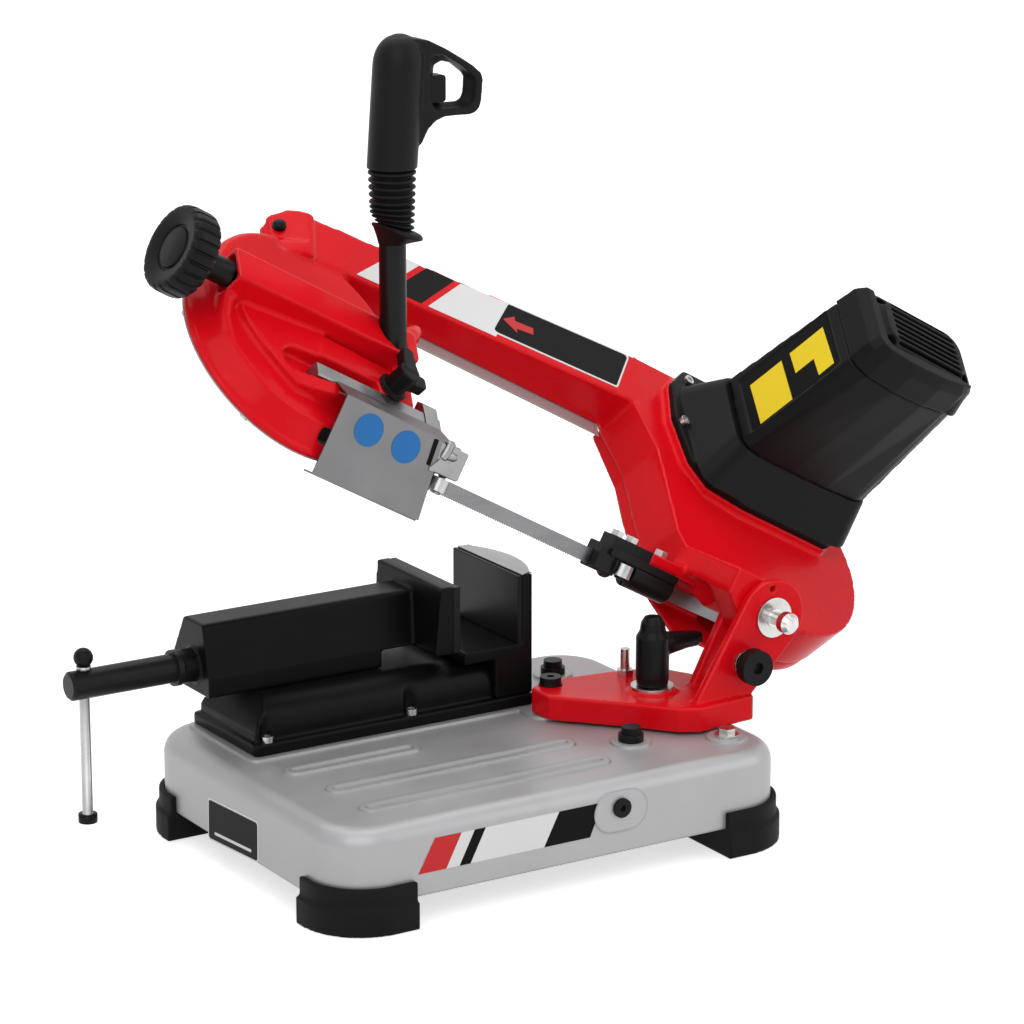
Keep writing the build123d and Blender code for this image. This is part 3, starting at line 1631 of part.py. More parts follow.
with BuildPart() as mid_axle:
    mid_low = plate_face + sliding_gap
    rod(wheel_plane(mid_low), mid_spot, mid_shaft, fast_low + gear_width - mid_low)
    gear(
        wheel_plane(slow_low),
        mid_spot,
        teeth_small,
        module_slow,
        gear_width,
        mesh_slow + 180 + 180 / teeth_small,
    )
    gear(wheel_plane(fast_low), mid_spot, teeth_fast, module_fast, gear_width, mesh_fast)
save(mid_axle, "intermediate_gears")

# Motor: rotor, stator, brushes and three housings on the gear cover
front_seat = cover_top - fan_room - bearing_width - root
rear_seat = motor_top + cap_floor
shaft_start = fast_low + gear_width + root
rotor_low = cover_top + rotor_inset
commutator_low = rotor_low + rotor_length
with BuildPart() as motor_axle:
    rod(wheel_plane(shaft_start), motor_spot, motor_shaft, rear_seat + bearing_width - shaft_start)
    rod(wheel_plane(pinion_low), motor_spot, pinion_core, shaft_start + root - pinion_low)
    gear(
        wheel_plane(pinion_low),
        motor_spot,
        teeth_pinion,
        module_fast,
        gear_width + root,
        mesh_fast + 180 + 180 / teeth_pinion,
    )
save(motor_axle, "motor_shaft")

press_bore = motor_shaft + press_gap
with BuildPart() as rotor_core:
    tube(wheel_plane(rotor_low), motor_spot, rotor_radius, press_bore, rotor_length)
    tube(wheel_plane(commutator_low), motor_spot, commutator_radius, press_bore, commutator_length)
save(rotor_core, "rotor_core")

fan_low = cover_top - fan_height - 2 * root
with BuildPart() as fan:
    tube(wheel_plane(fan_low), motor_spot, fan_hub, press_bore, fan_height)
    tube(wheel_plane(fan_low), motor_spot, motor_bore - fan_gap, fan_hub - root, 2 * root)
    for i in range(fan_vanes):
        turn = 360 / fan_vanes * i
        reach = (fan_hub + motor_bore - fan_gap) / 2
        vane_x = motor_x + reach * cos(radians(turn))
        vane_y = motor_y + reach * sin(radians(turn))
        with BuildSketch(wheel_plane(fan_low + root)) as vane:
            with Locations((vane_x, vane_y)):
                Rectangle(vane_length, 2 * root, rotation=turn + vane_turn)
        extrude(vane.sketch, amount=fan_height - root)
save(fan, "cooling_fan")

with BuildPart() as bearings:
    for low in (front_seat, rear_seat):
        tube(wheel_plane(low), motor_spot, bearing_outer, motor_shaft + running_gap, bearing_width)
    for low in (dish_inner, gear_roof):
        tube(wheel_plane(low), drive_spot, drive_bearing, drive_shaft + running_gap, bearing_width)
save(bearings, "shaft_bearings")

with BuildPart() as stator:
    tube(wheel_plane(rotor_low - root), motor_spot, motor_bore, stator_inner, stator_length)
save(stator, "stator")

brush_low = commutator_low + commutator_length / 2 - brush_half
brush_start = commutator_radius + sliding_gap
with BuildPart() as brushes:
    for low_x, high_x in (
        (motor_x + room_left, motor_x - brush_start),
        (motor_x + brush_start, motor_x + room_right),
    ):
        block(
            wheel_plane(brush_low),
            (low_x, motor_y - brush_half),
            (high_x, motor_y + brush_half),
            2 * brush_half,
            root,
        )
save(brushes, "brush_holders")

with BuildPart() as gear_cover:
    plate(wheel_plane(pad_face), cover_outline, flange, flange_round)
    tapered_block(
        wheel_plane(pad_face + flange),
        (-28, motor_y - 66, 152, motor_y + 50),
        wheel_plane(cover_top),
        (-9, motor_y - 42, 149, motor_y + 43),
        motor_corner,
    )
    fast_room = module_fast * (teeth_fast / 2 + tooth_tip) + gear_gap
    gear_depth = fast_low + gear_width + gear_gap - pad_face
    rod(wheel_plane(pad_face), mid_spot, fast_room, gear_depth, mode=Mode.SUBTRACT)
    rod(wheel_plane(pad_face), motor_spot, pinion_room, gear_depth, mode=Mode.SUBTRACT)
    rod(wheel_plane(pad_face), motor_spot, motor_shaft + root, cover_top, mode=Mode.SUBTRACT)
    bearing_seat = bearing_outer + running_gap
    rod(wheel_plane(cover_top), motor_spot, bearing_seat, front_seat - cover_top, mode=Mode.SUBTRACT)
    rod(wheel_plane(cover_top), motor_spot, motor_bore, -fan_room, mode=Mode.SUBTRACT)
    for spot_xy in cover_bolt_spots:
        rod(wheel_plane(pad_face), spot_xy, small_bolt + running_gap, flange + root, mode=Mode.SUBTRACT)
save(gear_cover, "gear_cover")

with BuildPart() as motor_case:
    tapered_block(
        wheel_plane(cover_top),
        (5, motor_y - 40, 146, motor_y + 43),
        wheel_plane(motor_top),
        (12, motor_y - 36, 134, motor_y + 37),
        motor_corner,
    )
    rod(wheel_plane(cover_top), motor_spot, motor_bore + running_gap, motor_top, mode=Mode.SUBTRACT)
    block(
        wheel_plane(cover_top + shell_wall),
        (motor_x + room_left, motor_y - room_half),
        (motor_x + room_right, motor_y + room_half),
        motor_top,
        mode=Mode.SUBTRACT,
    )
save(motor_case, "motor_housing")

cap_shoulder = cap_top - cap_edge
cap_screw_low = cap_shoulder - bolt_depth
cap_screw_spots = [(x, motor_y + y) for x in (27, 119) for y in (-22, 23)]
with BuildPart() as end_cap:
    shoulder = (14, motor_y - 34, 131, motor_y + 35)
    tapered_block(
        wheel_plane(motor_top),
        (9, motor_y - 39, 137, motor_y + 40),
        wheel_plane(cap_shoulder),
        shoulder,
        motor_corner,
    )
    tapered_block(
        wheel_plane(cap_shoulder),
        shoulder,
        wheel_plane(cap_top),
        (26, motor_y - 22, 119, motor_y + 23),
        motor_corner,
    )
    rod(wheel_plane(motor_top), motor_spot, motor_bore - shell_wall, cap_floor, mode=Mode.SUBTRACT)
    rod(wheel_plane(rear_seat), motor_spot, bearing_seat, bearing_width + root, mode=Mode.SUBTRACT)
    vent_low = rear_seat + bearing_width + shell_wall
    block(
        wheel_plane(vent_low),
        (motor_x - vent_reach, motor_y - room_half),
        (motor_x + vent_reach, motor_y + room_half),
        cap_shoulder - shell_wall - vent_low,
        mode=Mode.SUBTRACT,
    )
    for i in range(vent_slots):
        slot_y = motor_y + (i - (vent_slots - 1) / 2) * vent_pitch
        block(
            wheel_plane(cap_shoulder - 2 * shell_wall),
            (motor_x - vent_reach, slot_y - vent_half),
            (motor_x + vent_reach, slot_y + vent_half),
            cap_top,
            mode=Mode.SUBTRACT,
        )
    for spot_xy in cap_screw_spots:
        rod(wheel_plane(motor_top), spot_xy, small_bolt + running_gap, cap_top, mode=Mode.SUBTRACT)
        rod(wheel_plane(cap_screw_low), spot_xy, cap_head, cap_top, mode=Mode.SUBTRACT)
save(end_cap, "motor_end_cap")

# Screws of the covers: on the rear sheet, on the gear cover's flange and in the corners of the end cap
screw_head = cap_head - root / 2
screw_ring = dome_radius - bolt_rim
rear_screw_spots = [
    (dome_x + screw_ring * cos(radians(turn)), dome_y + screw_ring * sin(radians(turn)))
    for turn in (120, 180, 240)
]
with BuildPart() as cover_screws:
    for spot_xy in rear_screw_spots:
        rod(wheel_plane(arm_back - cover_sheet), spot_xy, screw_head, -2 * root)
    head_low = wheel_plane(pad_face + flange)
    for spot_xy in cover_bolt_spots:
        rod(head_low, spot_xy, screw_head, cover_head)
        hexagon(head_low.offset(cover_head), spot_xy, screw_head, -cover_head / 2, mode=Mode.SUBTRACT)
        rod(head_low, spot_xy, small_bolt, root - flange - bolt_depth)
    for spot_xy in cap_screw_spots:
        rod(wheel_plane(motor_top + root), spot_xy, small_bolt, cap_screw_low - motor_top)
        rod(wheel_plane(cap_screw_low), spot_xy, screw_head, cover_head)
save(cover_screws, "cover_screws")

# Handle: a tube in the arm, a ribbed boot, and a grip with a loop round the trigger
handle_x, handle_y = handle_spot
tube_bottom = handle_foot.Z
tube_top = tube_bottom + tube_length
boot_bottom = tube_bottom + boot_rise
boot_top = boot_bottom + boot_length
grip_top = tube_bottom + grip_rise
with BuildPart() as handle_tube:
    tube(Plane.XY.offset(tube_bottom), handle_spot, tube_radius, tube_radius - tube_wall, tube_length)
save(handle_tube, "handle_tube")

rib = boot_length / boot_ribs
with BuildPart() as boot:
    lip_crest = boot_crest + boot_lip
    rings = [(boot_bottom - boot_lip, lip_crest), (boot_bottom - root, lip_crest - root)]
    for i in range(boot_ribs):
        for share, radius in ((0.05, boot_root), (0.3, boot_crest), (0.7, boot_crest), (0.95, boot_root)):
            rings.append((boot_bottom + (i + share) * rib, radius))
    rings[-1] = (boot_top, boot_root)
    ring_faces = []
    for z, radius in rings:
        with BuildSketch(Plane.XY.offset(z)) as ring:
            with Locations(handle_spot):
                Circle(radius)
        ring_faces.append(ring.sketch.faces()[0])
    loft(ring_faces, ruled=True)
    boot_bore = tube_radius + boot_room
    rod(Plane.XY.offset(boot_bottom - 2 * boot_lip), handle_spot, boot_bore, grip_top, mode=Mode.SUBTRACT)
save(boot, "handle_boot")

switch_left = handle_x + switch_depth
trigger_left = switch_left + switch_gap
trigger_right = handle_x + trigger_face
trigger_low = tube_bottom + trigger_rise
trigger_high = trigger_low + trigger_height
with BuildPart() as grip:
    grip_faces = []
    for z, radius, lean in (
        (boot_top, grip_radius, 0.5),
        (boot_top + 47, grip_radius - 0.5, 1),
        (grip_top - 20, grip_radius + 0.5, 5),
        (grip_top - 8, grip_radius - 3.5, 6.5),
        (grip_top - 2, grip_radius - 9.5, 7.5),
        (grip_top, grip_radius - 14.5, 8),
    ):
        with BuildSketch(Plane.XY.offset(z)) as ring:
            with Locations((handle_x + lean, handle_y)):
                Circle(radius)
        grip_faces.append(ring.sketch.faces()[0])
    loft(grip_faces, ruled=True)
    loop_plane = front_plane(handle_y + loop_half)
    loop_outer = [(handle_x + x, tube_bottom + z) for x, z in loop_points]
    loop_inner = [(handle_x + x, tube_bottom + z) for x, z in loop_hole]
    plate(loop_plane, loop_outer, 2 * loop_half, loop_round)
    plate(loop_plane, loop_inner, 2 * loop_half, loop_round - root, mode=Mode.SUBTRACT)
    tube_hole = tube_radius + running_gap
    rod(Plane.XY.offset(boot_top), handle_spot, tube_hole, tube_top - boot_top, mode=Mode.SUBTRACT)
    block(
        front_plane(handle_y + trigger_half + sliding_gap),
        (switch_left, trigger_low - sliding_gap),
        (trigger_right, trigger_high + sliding_gap),
        2 * (trigger_half + sliding_gap),
        mode=Mode.SUBTRACT,
    )
save(grip, "handle_grip")

with BuildPart() as trigger:
    block(
        front_plane(handle_y + trigger_half),
        (trigger_left, trigger_low),
        (trigger_right, trigger_high),
        2 * trigger_half,
        loop_round - root,
    )
save(trigger, "trigger")

with BuildPart() as switch_body:
    block(
        front_plane(handle_y + trigger_half - root),
        (switch_left, trigger_low + root),
        (switch_left + switch_depth, trigger_high - root),
        2 * (trigger_half - root),
        root,
    )
save(switch_body, "switch_body")

# Spring that lifts the arm, wound in the hub of the tongue
with BuildPart() as lift_spring:
    tube(blade_plane(tongue_back), (0, 0), spring_radius, pivot_bolt + 2 * root, spring_width - root / 2)
save(lift_spring, "lift_spring")
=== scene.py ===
"""Looks of a portable metal cutting band saw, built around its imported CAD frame. Metres, +Z up."""

from math import atan2, cos, pi, radians, sin, tan

import bmesh
import bpy
from mathutils import Matrix, Vector


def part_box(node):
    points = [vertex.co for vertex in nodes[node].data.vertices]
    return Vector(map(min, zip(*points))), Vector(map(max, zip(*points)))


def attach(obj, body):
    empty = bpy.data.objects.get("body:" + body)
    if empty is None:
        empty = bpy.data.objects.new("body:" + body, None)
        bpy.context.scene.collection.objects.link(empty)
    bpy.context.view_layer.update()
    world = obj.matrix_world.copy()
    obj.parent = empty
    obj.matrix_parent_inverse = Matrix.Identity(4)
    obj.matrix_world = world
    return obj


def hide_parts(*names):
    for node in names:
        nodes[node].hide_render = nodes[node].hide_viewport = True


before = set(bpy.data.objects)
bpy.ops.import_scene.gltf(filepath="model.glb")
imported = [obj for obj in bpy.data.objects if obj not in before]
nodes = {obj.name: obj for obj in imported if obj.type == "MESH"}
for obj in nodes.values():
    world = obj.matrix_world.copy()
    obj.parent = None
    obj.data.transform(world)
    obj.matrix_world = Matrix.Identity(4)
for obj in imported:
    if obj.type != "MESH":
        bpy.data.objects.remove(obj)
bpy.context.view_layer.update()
scene = bpy.context.scene
MM = 0.001

# Directions of the raised arm, as in the CAD frame
LIFT = radians(29.15)
TILT = radians(40)
PIVOT = Vector((243, 0, 169)) * MM
BLADE_DROP = 17 * MM
BLADE_Y = -7 * MM
ARM_DIR = Vector((-cos(LIFT), 0, sin(LIFT)))
ARM_UP = Vector((sin(LIFT), 0, cos(LIFT)))
TOWARD = Vector((0, -1, 0))
WHEEL_AXIS = ARM_UP * cos(TILT) + TOWARD * sin(TILT)
SIDE = ARM_UP * sin(TILT) - TOWARD * cos(TILT)
BAND_ORIGIN = PIVOT - ARM_UP * BLADE_DROP + Vector((0, BLADE_Y, 0))

# Camera at the photograph's angle
CAMERA_AZIMUTH = radians(-32)
CAMERA_ELEVATION = radians(15.4)
CAMERA_DISTANCE = 3.175
CAMERA_TARGET = Vector((0.0004, -0.07, 0.29))
FOCAL_PIXELS = 4000
FRAME_PIXELS = 1024
SENSOR_WIDTH = 36


def make_camera():
    data = bpy.data.cameras.new("photo_camera")
    camera = bpy.data.objects.new("photo_camera", data)
    scene.collection.objects.link(camera)
    away = Vector((
        sin(CAMERA_AZIMUTH) * cos(CAMERA_ELEVATION),
        -cos(CAMERA_AZIMUTH) * cos(CAMERA_ELEVATION),
        sin(CAMERA_ELEVATION),
    ))
    camera.location = CAMERA_TARGET + away * CAMERA_DISTANCE
    camera.rotation_euler = (-away).to_track_quat("-Z", "Y").to_euler()
    data.sensor_width = SENSOR_WIDTH
    data.lens = FOCAL_PIXELS / FRAME_PIXELS * SENSOR_WIDTH
    data.clip_end = 50
    scene.camera = camera


make_camera()
scene.view_settings.view_transform = "Standard"


# Shader helpers
def add(tree, kind, inputs=None, **settings):
    """A shader node with its settings, and its inputs set to values or linked to sockets."""
    made = tree.nodes.new("ShaderNode" + kind)
    for key, value in settings.items():
        setattr(made, key, value)
    for key, value in (inputs or {}).items():
        if isinstance(value, bpy.types.NodeSocket):
            tree.links.new(value, made.inputs[key])
        else:
            made.inputs[key].default_value = value
    return made


def new_material(name):
    """An empty material with a principled shader."""
    material = bpy.data.materials.new(name)
    material.use_nodes = True
    tree = material.node_tree
    tree.nodes.clear()
    shader = add(tree, "BsdfPrincipled")
    add(tree, "OutputMaterial", {"Surface": shader.outputs["BSDF"]})
    return material, tree, shader


def noise(tree, scale, detail=3, stretch=(1, 1, 1), roughness=0.5):
    """Noise in the frame's own metres, stretched for grain that runs one way."""
    coordinates = add(tree, "TexCoord").outputs["Object"]
    vector = add(tree, "Mapping", {"Vector": coordinates, "Scale": stretch}).outputs["Vector"]
    texture = add(tree, "TexNoise", {"Vector": vector, "Scale": scale, "Detail": detail, "Roughness": roughness})
    return texture.outputs["Fac"]


def remap(tree, value, low, high, to_low, to_high):
    """A value moved from one range to another, and held there."""
    made = add(tree, "MapRange", {
        "Value": value, "From Min": low, "From Max": high, "To Min": to_low, "To Max": to_high,
    })
    return made.outputs["Result"]


def mix(tree, factor, first, second):
    made = add(tree, "Mix", data_type="RGBA")
    pairs = ((made.inputs[0], factor), (made.inputs[6], first), (made.inputs[7], second))
    for socket, value in pairs:
        if isinstance(value, bpy.types.NodeSocket):
            tree.links.new(value, socket)
        else:
            socket.default_value = value
    return made.outputs[2]


def soft_edges(tree, radius):
    """Normals rounded over edges, and a mask that is 1 on them."""
    bevel = add(tree, "Bevel", {"Radius": radius}, samples=4)
    flat = add(tree, "NewGeometry").outputs["Normal"]
    alike = add(tree, "VectorMath", {0: bevel.outputs["Normal"], 1: flat}, operation="DOT_PRODUCT")
    mask = remap(tree, alike.outputs["Value"], 0.995, 0.93, 0, 1)
    return bevel.outputs["Normal"], mask


def bump(tree, height, strength, distance, normal):
    made = add(tree, "Bump", {"Height": height, "Strength": strength, "Distance": distance, "Normal": normal})
    return made.outputs["Normal"]


def grey(value):
    return (value, value, value * 1.02, 1)


# Share of the painted highlight, a lighter colour mixed onto the edges for the light they catch
COAT_ROUGHNESS = 0.1
PAINTED_HIGHLIGHT_SHARE = 0.3


def painted(name, colour, rough, grain, grain_depth, edge, specular=0.3, coat=0.0, metallic=0.0, edge_colour=None,
            vary=0.12, painted_highlight=None):
    """Paint or moulded plastic: uneven gloss, a grain of its own scale, soft edges, wear on them, and a painted
    highlight: a lighter colour on the edges.
    """
    material, tree, shader = new_material(name)
    normal, rim = soft_edges(tree, edge)
    broad = noise(tree, 14, 4)
    fine = noise(tree, grain, 3)
    dark = tuple(c * (1 - vary) for c in colour[:3]) + (1,)
    body = mix(tree, remap(tree, broad, 0.3, 0.7, 0, 1), dark, colour)
    if edge_colour:
        speck = remap(tree, noise(tree, 420, 2), 0.46, 0.62, 0, 0.85)
        worn = add(tree, "Math", {0: rim, 1: speck}, operation="MULTIPLY").outputs["Value"]
        body = mix(tree, worn, body, edge_colour)
    # Painted highlight: a lighter colour on the edges, standing in for the light they catch
    if painted_highlight:
        body = mix(tree, remap(tree, rim, 0, 1, 0, PAINTED_HIGHLIGHT_SHARE), body, painted_highlight)
    tree.links.new(body, shader.inputs["Base Color"])
    tree.links.new(remap(tree, broad, 0.25, 0.75, rough * 0.85, rough * 1.15), shader.inputs["Roughness"])
    tree.links.new(bump(tree, fine, 0.5, grain_depth, normal), shader.inputs["Normal"])
    shader.inputs["Metallic"].default_value = metallic
    shader.inputs["Specular IOR Level"].default_value = specular
    shader.inputs["Coat Weight"].default_value = coat
    shader.inputs["Coat Roughness"].default_value = COAT_ROUGHNESS
    return material


def metal(name, colour, rough, stretch, edge=0.0004, scratch=0.00004, vary=0.25):
    """Bare metal with a brushed or turned grain that runs along one direction of the frame."""
    material, tree, shader = new_material(name)
    normal, rim = soft_edges(tree, edge)
    streak = noise(tree, 60, 4, stretch, 0.65)
    cloud = noise(tree, 30, 3)
    dark = tuple(c * (1 - vary) for c in colour[:3]) + (1,)
    light = tuple(min(1, c * 1.12) for c in colour[:3]) + (1,)
    body = mix(tree, remap(tree, streak, 0.3, 0.7, 0, 1), dark, colour)
    body = mix(tree, rim, body, light)
    tree.links.new(body, shader.inputs["Base Color"])
    spread = add(tree, "Math", {0: streak, 1: cloud}, operation="ADD").outputs["Value"]
    tree.links.new(remap(tree, spread, 0.7, 1.3, rough * 0.75, rough * 1.3), shader.inputs["Roughness"])
    tree.links.new(bump(tree, streak, 0.4, scratch, normal), shader.inputs["Normal"])
    shader.inputs["Metallic"].default_value = 1.0
    return material


RED = (0.76, 0.004, 0.011, 1)
looks = {
    # The red paint carries a painted highlight, a pink colour on its edges
    "red": painted("red_paint", RED, 0.28, 900, 0.00003, 0.0014, specular=0.06, coat=0.08, vary=0.06,
                   painted_highlight=(1, 0.45, 0.45, 1)),
    "base": painted("silver_paint", grey(0.44), 0.42, 2600, 0.00003, 0.003, specular=0.2, coat=0.04, metallic=0.45,
                    vary=0.10),
    "foot": painted("foot_rubber", grey(0.008), 0.6, 1500, 0.0001, 0.001, specular=0.1),
    "vise": painted("vise_black", grey(0.005), 0.32, 1300, 0.0001, 0.0008, specular=0.08, edge_colour=grey(0.022)),
    "motor": painted("motor_plastic", grey(0.006), 0.40, 2200, 0.00007, 0.001, specular=0.1),
    "plastic": painted("black_plastic", grey(0.006), 0.38, 1800, 0.00006, 0.0008, specular=0.12),
    "grip": painted("handle_plastic", grey(0.008), 0.46, 2400, 0.00007, 0.001, specular=0.12),
    "rubber": painted("boot_rubber", grey(0.007), 0.52, 1600, 0.00006, 0.0005, specular=0.12),
    "dark_iron": painted("guide_black", grey(0.007), 0.34, 1200, 0.00006, 0.001, specular=0.16),
    "zinc": metal("bright_zinc", (0.60, 0.60, 0.58, 1), 0.26, (1, 1, 1)),
    "steel": metal("turned_steel", (0.50, 0.50, 0.51, 1), 0.30, (0.15, 1, 1)),
    "band": metal("band_steel", (0.24, 0.24, 0.25, 1), 0.38, (0.1, 1, 1)),
    "guard": metal("guard_sheet", (0.20, 0.20, 0.205, 1), 0.46, (1, 1, 0.4), vary=0.1),
    "chrome": metal("pivot_chrome", (0.70, 0.69, 0.68, 1), 0.16, (1, 1, 1)),
    "crown": metal("jaw_top_grey_metal", (0.42, 0.42, 0.43, 1), 0.34, (1, 0.08, 1)),
    "block": metal("block_steel", (0.34, 0.34, 0.34, 1), 0.36, (1, 1, 1)),
    "sheet": painted("cover_sheet", grey(0.5), 0.4, 1500, 0.00003, 0.001, specular=0.2, metallic=0.3, vary=0.06),
    "jaw_face": painted("jaw_face_black", grey(0.006), 0.36, 700, 0.0001, 0.0006, specular=0.15),
    "cover": painted("cover_black", grey(0.007), 0.4, 1400, 0.00005, 0.001, specular=0.14),
    "print_white": painted("print_white", (0.80, 0.80, 0.80, 1), 0.32, 1500, 0.00002, 0.0002, vary=0.04),
    "print_black": painted("print_black", grey(0.005), 0.4, 1500, 0.00002, 0.0002, specular=0.06),
    "print_red": painted("print_red", (0.62, 0.01, 0.012, 1), 0.30, 1500, 0.00002, 0.0002, vary=0.06),
    "print_yellow": painted("print_yellow", (0.93, 0.70, 0.006, 1), 0.34, 1500, 0.00002, 0.0002, vary=0.05),
    "print_blue": painted("print_blue", (0.01, 0.16, 0.46, 1), 0.32, 1500, 0.00002, 0.0002, vary=0.06),
}

node_looks = {
    "red": ["arm_frame", "swivel_bracket", "drive_rear_cover"],
    "base": ["base_tray"],
    "foot": ["corner_feet"],
    "vise": ["vise_bed", "fixed_jaw", "movable_jaw", "vise_nut"],
    "motor": ["gear_cover", "motor_housing", "motor_end_cap", "cooling_fan", "brush_holders"],
    "plastic": ["side_plug", "lock_lever", "plunger_knob", "tension_knob", "guide_clamp_lever", "trigger",
                "switch_body"],
    "grip": ["handle_grip"],
    "rubber": ["handle_boot"],
    "dark_iron": ["right_guide_holder", "handle_tube", "vise_screw"],
    "zinc": ["base_bolts", "bracket_washers", "cover_screws", "right_guide_bolts", "plunger_sleeve",
             "down_stop_stud"],
    "block": ["left_guide_block", "guide_bar"],
    "sheet": ["rear_cover"],
    "steel": ["tommy_bar", "drive_wheel", "idler_wheel", "tension_carriage", "left_front_roller",
              "left_back_roller", "right_front_roller", "right_back_roller", "shaft_bearings", "idler_bearings",
              "intermediate_gears", "drive_gear", "motor_shaft", "rotor_core", "gear_plate", "stator",
              "lift_spring"],
    "band": ["saw_band"],
    "guard": ["blade_guard"],
    "chrome": ["pivot_bolt"],
    "jaw_face": ["fixed_jaw_plate", "movable_jaw_plate"],
    "cover": ["swivel_stops", "swivel_bolt"],
}


def dress(node, material):
    """A CAD node takes one material."""
    slots = nodes[node].data.materials
    slots.clear()
    slots.append(material)


for look, names in node_looks.items():
    for node in names:
        dress(node, looks[look])


# Mesh helpers: shapes are written in millimetres of a place, the arm's or the world's
ARM_TURN = Matrix((-ARM_DIR, SIDE, WHEEL_AXIS)).transposed().to_4x4()
ARM = Matrix.Translation(BAND_ORIGIN) @ ARM_TURN @ Matrix.Scale(MM, 4)
WORLD = Matrix.Scale(MM, 4)


def shape(points, faces, where):
    """A mesh of points in a place's millimetres, turned outwards."""
    bm = bmesh.new()
    made = [bm.verts.new(where @ Vector(point)) for point in points]
    for face in faces:
        bm.faces.new([made[i] for i in face])
    bmesh.ops.recalc_face_normals(bm, faces=bm.faces)
    mesh = bpy.data.meshes.new("shape")
    bm.to_mesh(mesh)
    bm.free()
    return mesh


def loft(rings, where):
    """A closed solid through rings of equally many points."""
    count = len(rings[0])
    points = [point for ring in rings for point in ring]
    faces = [
        (i * count + j, i * count + (j + 1) % count, (i + 1) * count + (j + 1) % count, (i + 1) * count + j)
        for i in range(len(rings) - 1) for j in range(count)
    ]
    faces += [tuple(range(count)), tuple(range(len(points) - count, len(points)))]
    return shape(points, faces, where)


def prism(outline, low, high, where):
    return loft([[(x, y, z) for x, y in outline] for z in (low, high)], where)


def lathe(profile, where, steps=96):
    """A closed solid of revolution about z from a profile of radius and height."""
    rings = [
        [(r * cos(2 * pi * j / steps), r * sin(2 * pi * j / steps), z) for j in range(steps)] for r, z in profile
    ]
    return loft(rings, where)


def rod(path, radii, where, sides=16):
    """A closed round rod along a path, with a radius at each of its points."""
    path = [Vector(point) for point in path]
    rings = []
    across = None
    for i, point in enumerate(path):
        ahead = (path[min(i + 1, len(path) - 1)] - path[max(i - 1, 0)]).normalized()
        if across is None:
            across = ahead.orthogonal().normalized()
        across = (across - ahead * across.dot(ahead)).normalized()
        other = ahead.cross(across)
        rings.append([
            tuple(point + (across * cos(2 * pi * j / sides) + other * sin(2 * pi * j / sides)) * radii[i])
            for j in range(sides)
        ])
    return loft(rings, where)


def rounded(points, radius, steps=6):
    """An outline with its corners rounded."""
    outline = []
    count = len(points)
    for i in range(count):
        before, corner, after = (Vector(points[(i + k) % count]) for k in (-1, 0, 1))
        back, on = (before - corner).normalized(), (after - corner).normalized()
        half = back.angle(on) / 2
        reach = min(radius / tan(half), (before - corner).length * 0.48, (after - corner).length * 0.48)
        start, end = corner + back * reach, corner + on * reach
        for k in range(steps + 1):
            t = k / steps
            outline.append(tuple(start * (1 - t) ** 2 + corner * (2 * t * (1 - t)) + end * t ** 2))
    return outline


def node_mesh(node):
    """A copy of a CAD node's mesh with its split points joined."""
    bm = bmesh.new()
    bm.from_mesh(nodes[node].data)
    bmesh.ops.remove_doubles(bm, verts=bm.verts, dist=0.00001)
    mesh = bpy.data.meshes.new(node + "_copy")
    bm.to_mesh(mesh)
    bm.free()
    return mesh


def metres(where):
    """A place's own axes in metres."""
    return where @ Matrix.Scale(1 / MM, 4)


def joined(name, meshes, where):
    """One object of several meshes, in a place's own axes and in metres."""
    turn = metres(where).inverted()
    bm = bmesh.new()
    for mesh in meshes:
        bm.from_mesh(mesh)
        bpy.data.meshes.remove(mesh)
    bm.transform(turn)
    mesh = bpy.data.meshes.new(name)
    bm.to_mesh(mesh)
    bm.free()
    made = bpy.data.objects.new(name, mesh)
    scene.collection.objects.link(made)
    return made


def modifier(obj, kind, **settings):
    made = obj.modifiers.new(kind, kind)
    for key, value in settings.items():
        setattr(made, key, value)


def applied(obj):
    """The object's mesh becomes what its modifiers make of it."""
    mesh = bpy.data.meshes.new_from_object(obj.evaluated_get(bpy.context.evaluated_depsgraph_get()))
    obj.modifiers.clear()
    old = obj.data
    obj.data = mesh
    bpy.data.meshes.remove(old)


def settle(obj, body, material, replaced=()):
    """A piece takes its material, rides on its body and stands for CAD nodes."""
    obj.data.materials.clear()
    obj.data.materials.append(looks[material])
    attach(obj, body)
    if replaced:
        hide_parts(*replaced)


def cast(name, body, material, meshes, where, voxel, smooth, faces, replaced=(), cuts=()):
    """Closed shapes melted into one casting, with rounded edges, of about so many faces."""
    made = joined(name, meshes, where)
    modifier(made, "REMESH", mode="VOXEL", voxel_size=voxel * MM)
    cutter = None
    if cuts:
        cutter = joined(name + "_cut", cuts, where)
        modifier(cutter, "REMESH", mode="VOXEL", voxel_size=voxel * MM)
        modifier(made, "BOOLEAN", operation="DIFFERENCE", object=cutter, solver="EXACT")
        modifier(made, "REMESH", mode="VOXEL", voxel_size=voxel * MM)
    modifier(made, "SMOOTH", factor=0.5, iterations=smooth)
    applied(made)
    if cutter:
        bpy.data.objects.remove(cutter)
    count = sum(len(polygon.vertices) - 2 for polygon in made.data.polygons)
    if count > faces:
        modifier(made, "DECIMATE", ratio=faces / count)
        applied(made)
    made.data.shade_smooth()
    modifier(made, "WEIGHTED_NORMAL", weight=60)
    applied(made)
    made.data.transform(metres(where))
    settle(made, body, material, replaced)
    return made


def piece(name, body, material, meshes, replaced=(), smooth_angle=40):
    """A piece of exact shapes, with smooth shading below an angle."""
    made = joined(name, meshes, WORLD)
    made.data.shade_smooth()
    made.data.set_sharp_from_angle(angle=radians(smooth_angle))
    settle(made, body, material, replaced)
    return made


def circle(x, y, radius, steps=48):
    return [(x + radius * cos(2 * pi * k / steps), y + radius * sin(2 * pi * k / steps)) for k in range(steps)]


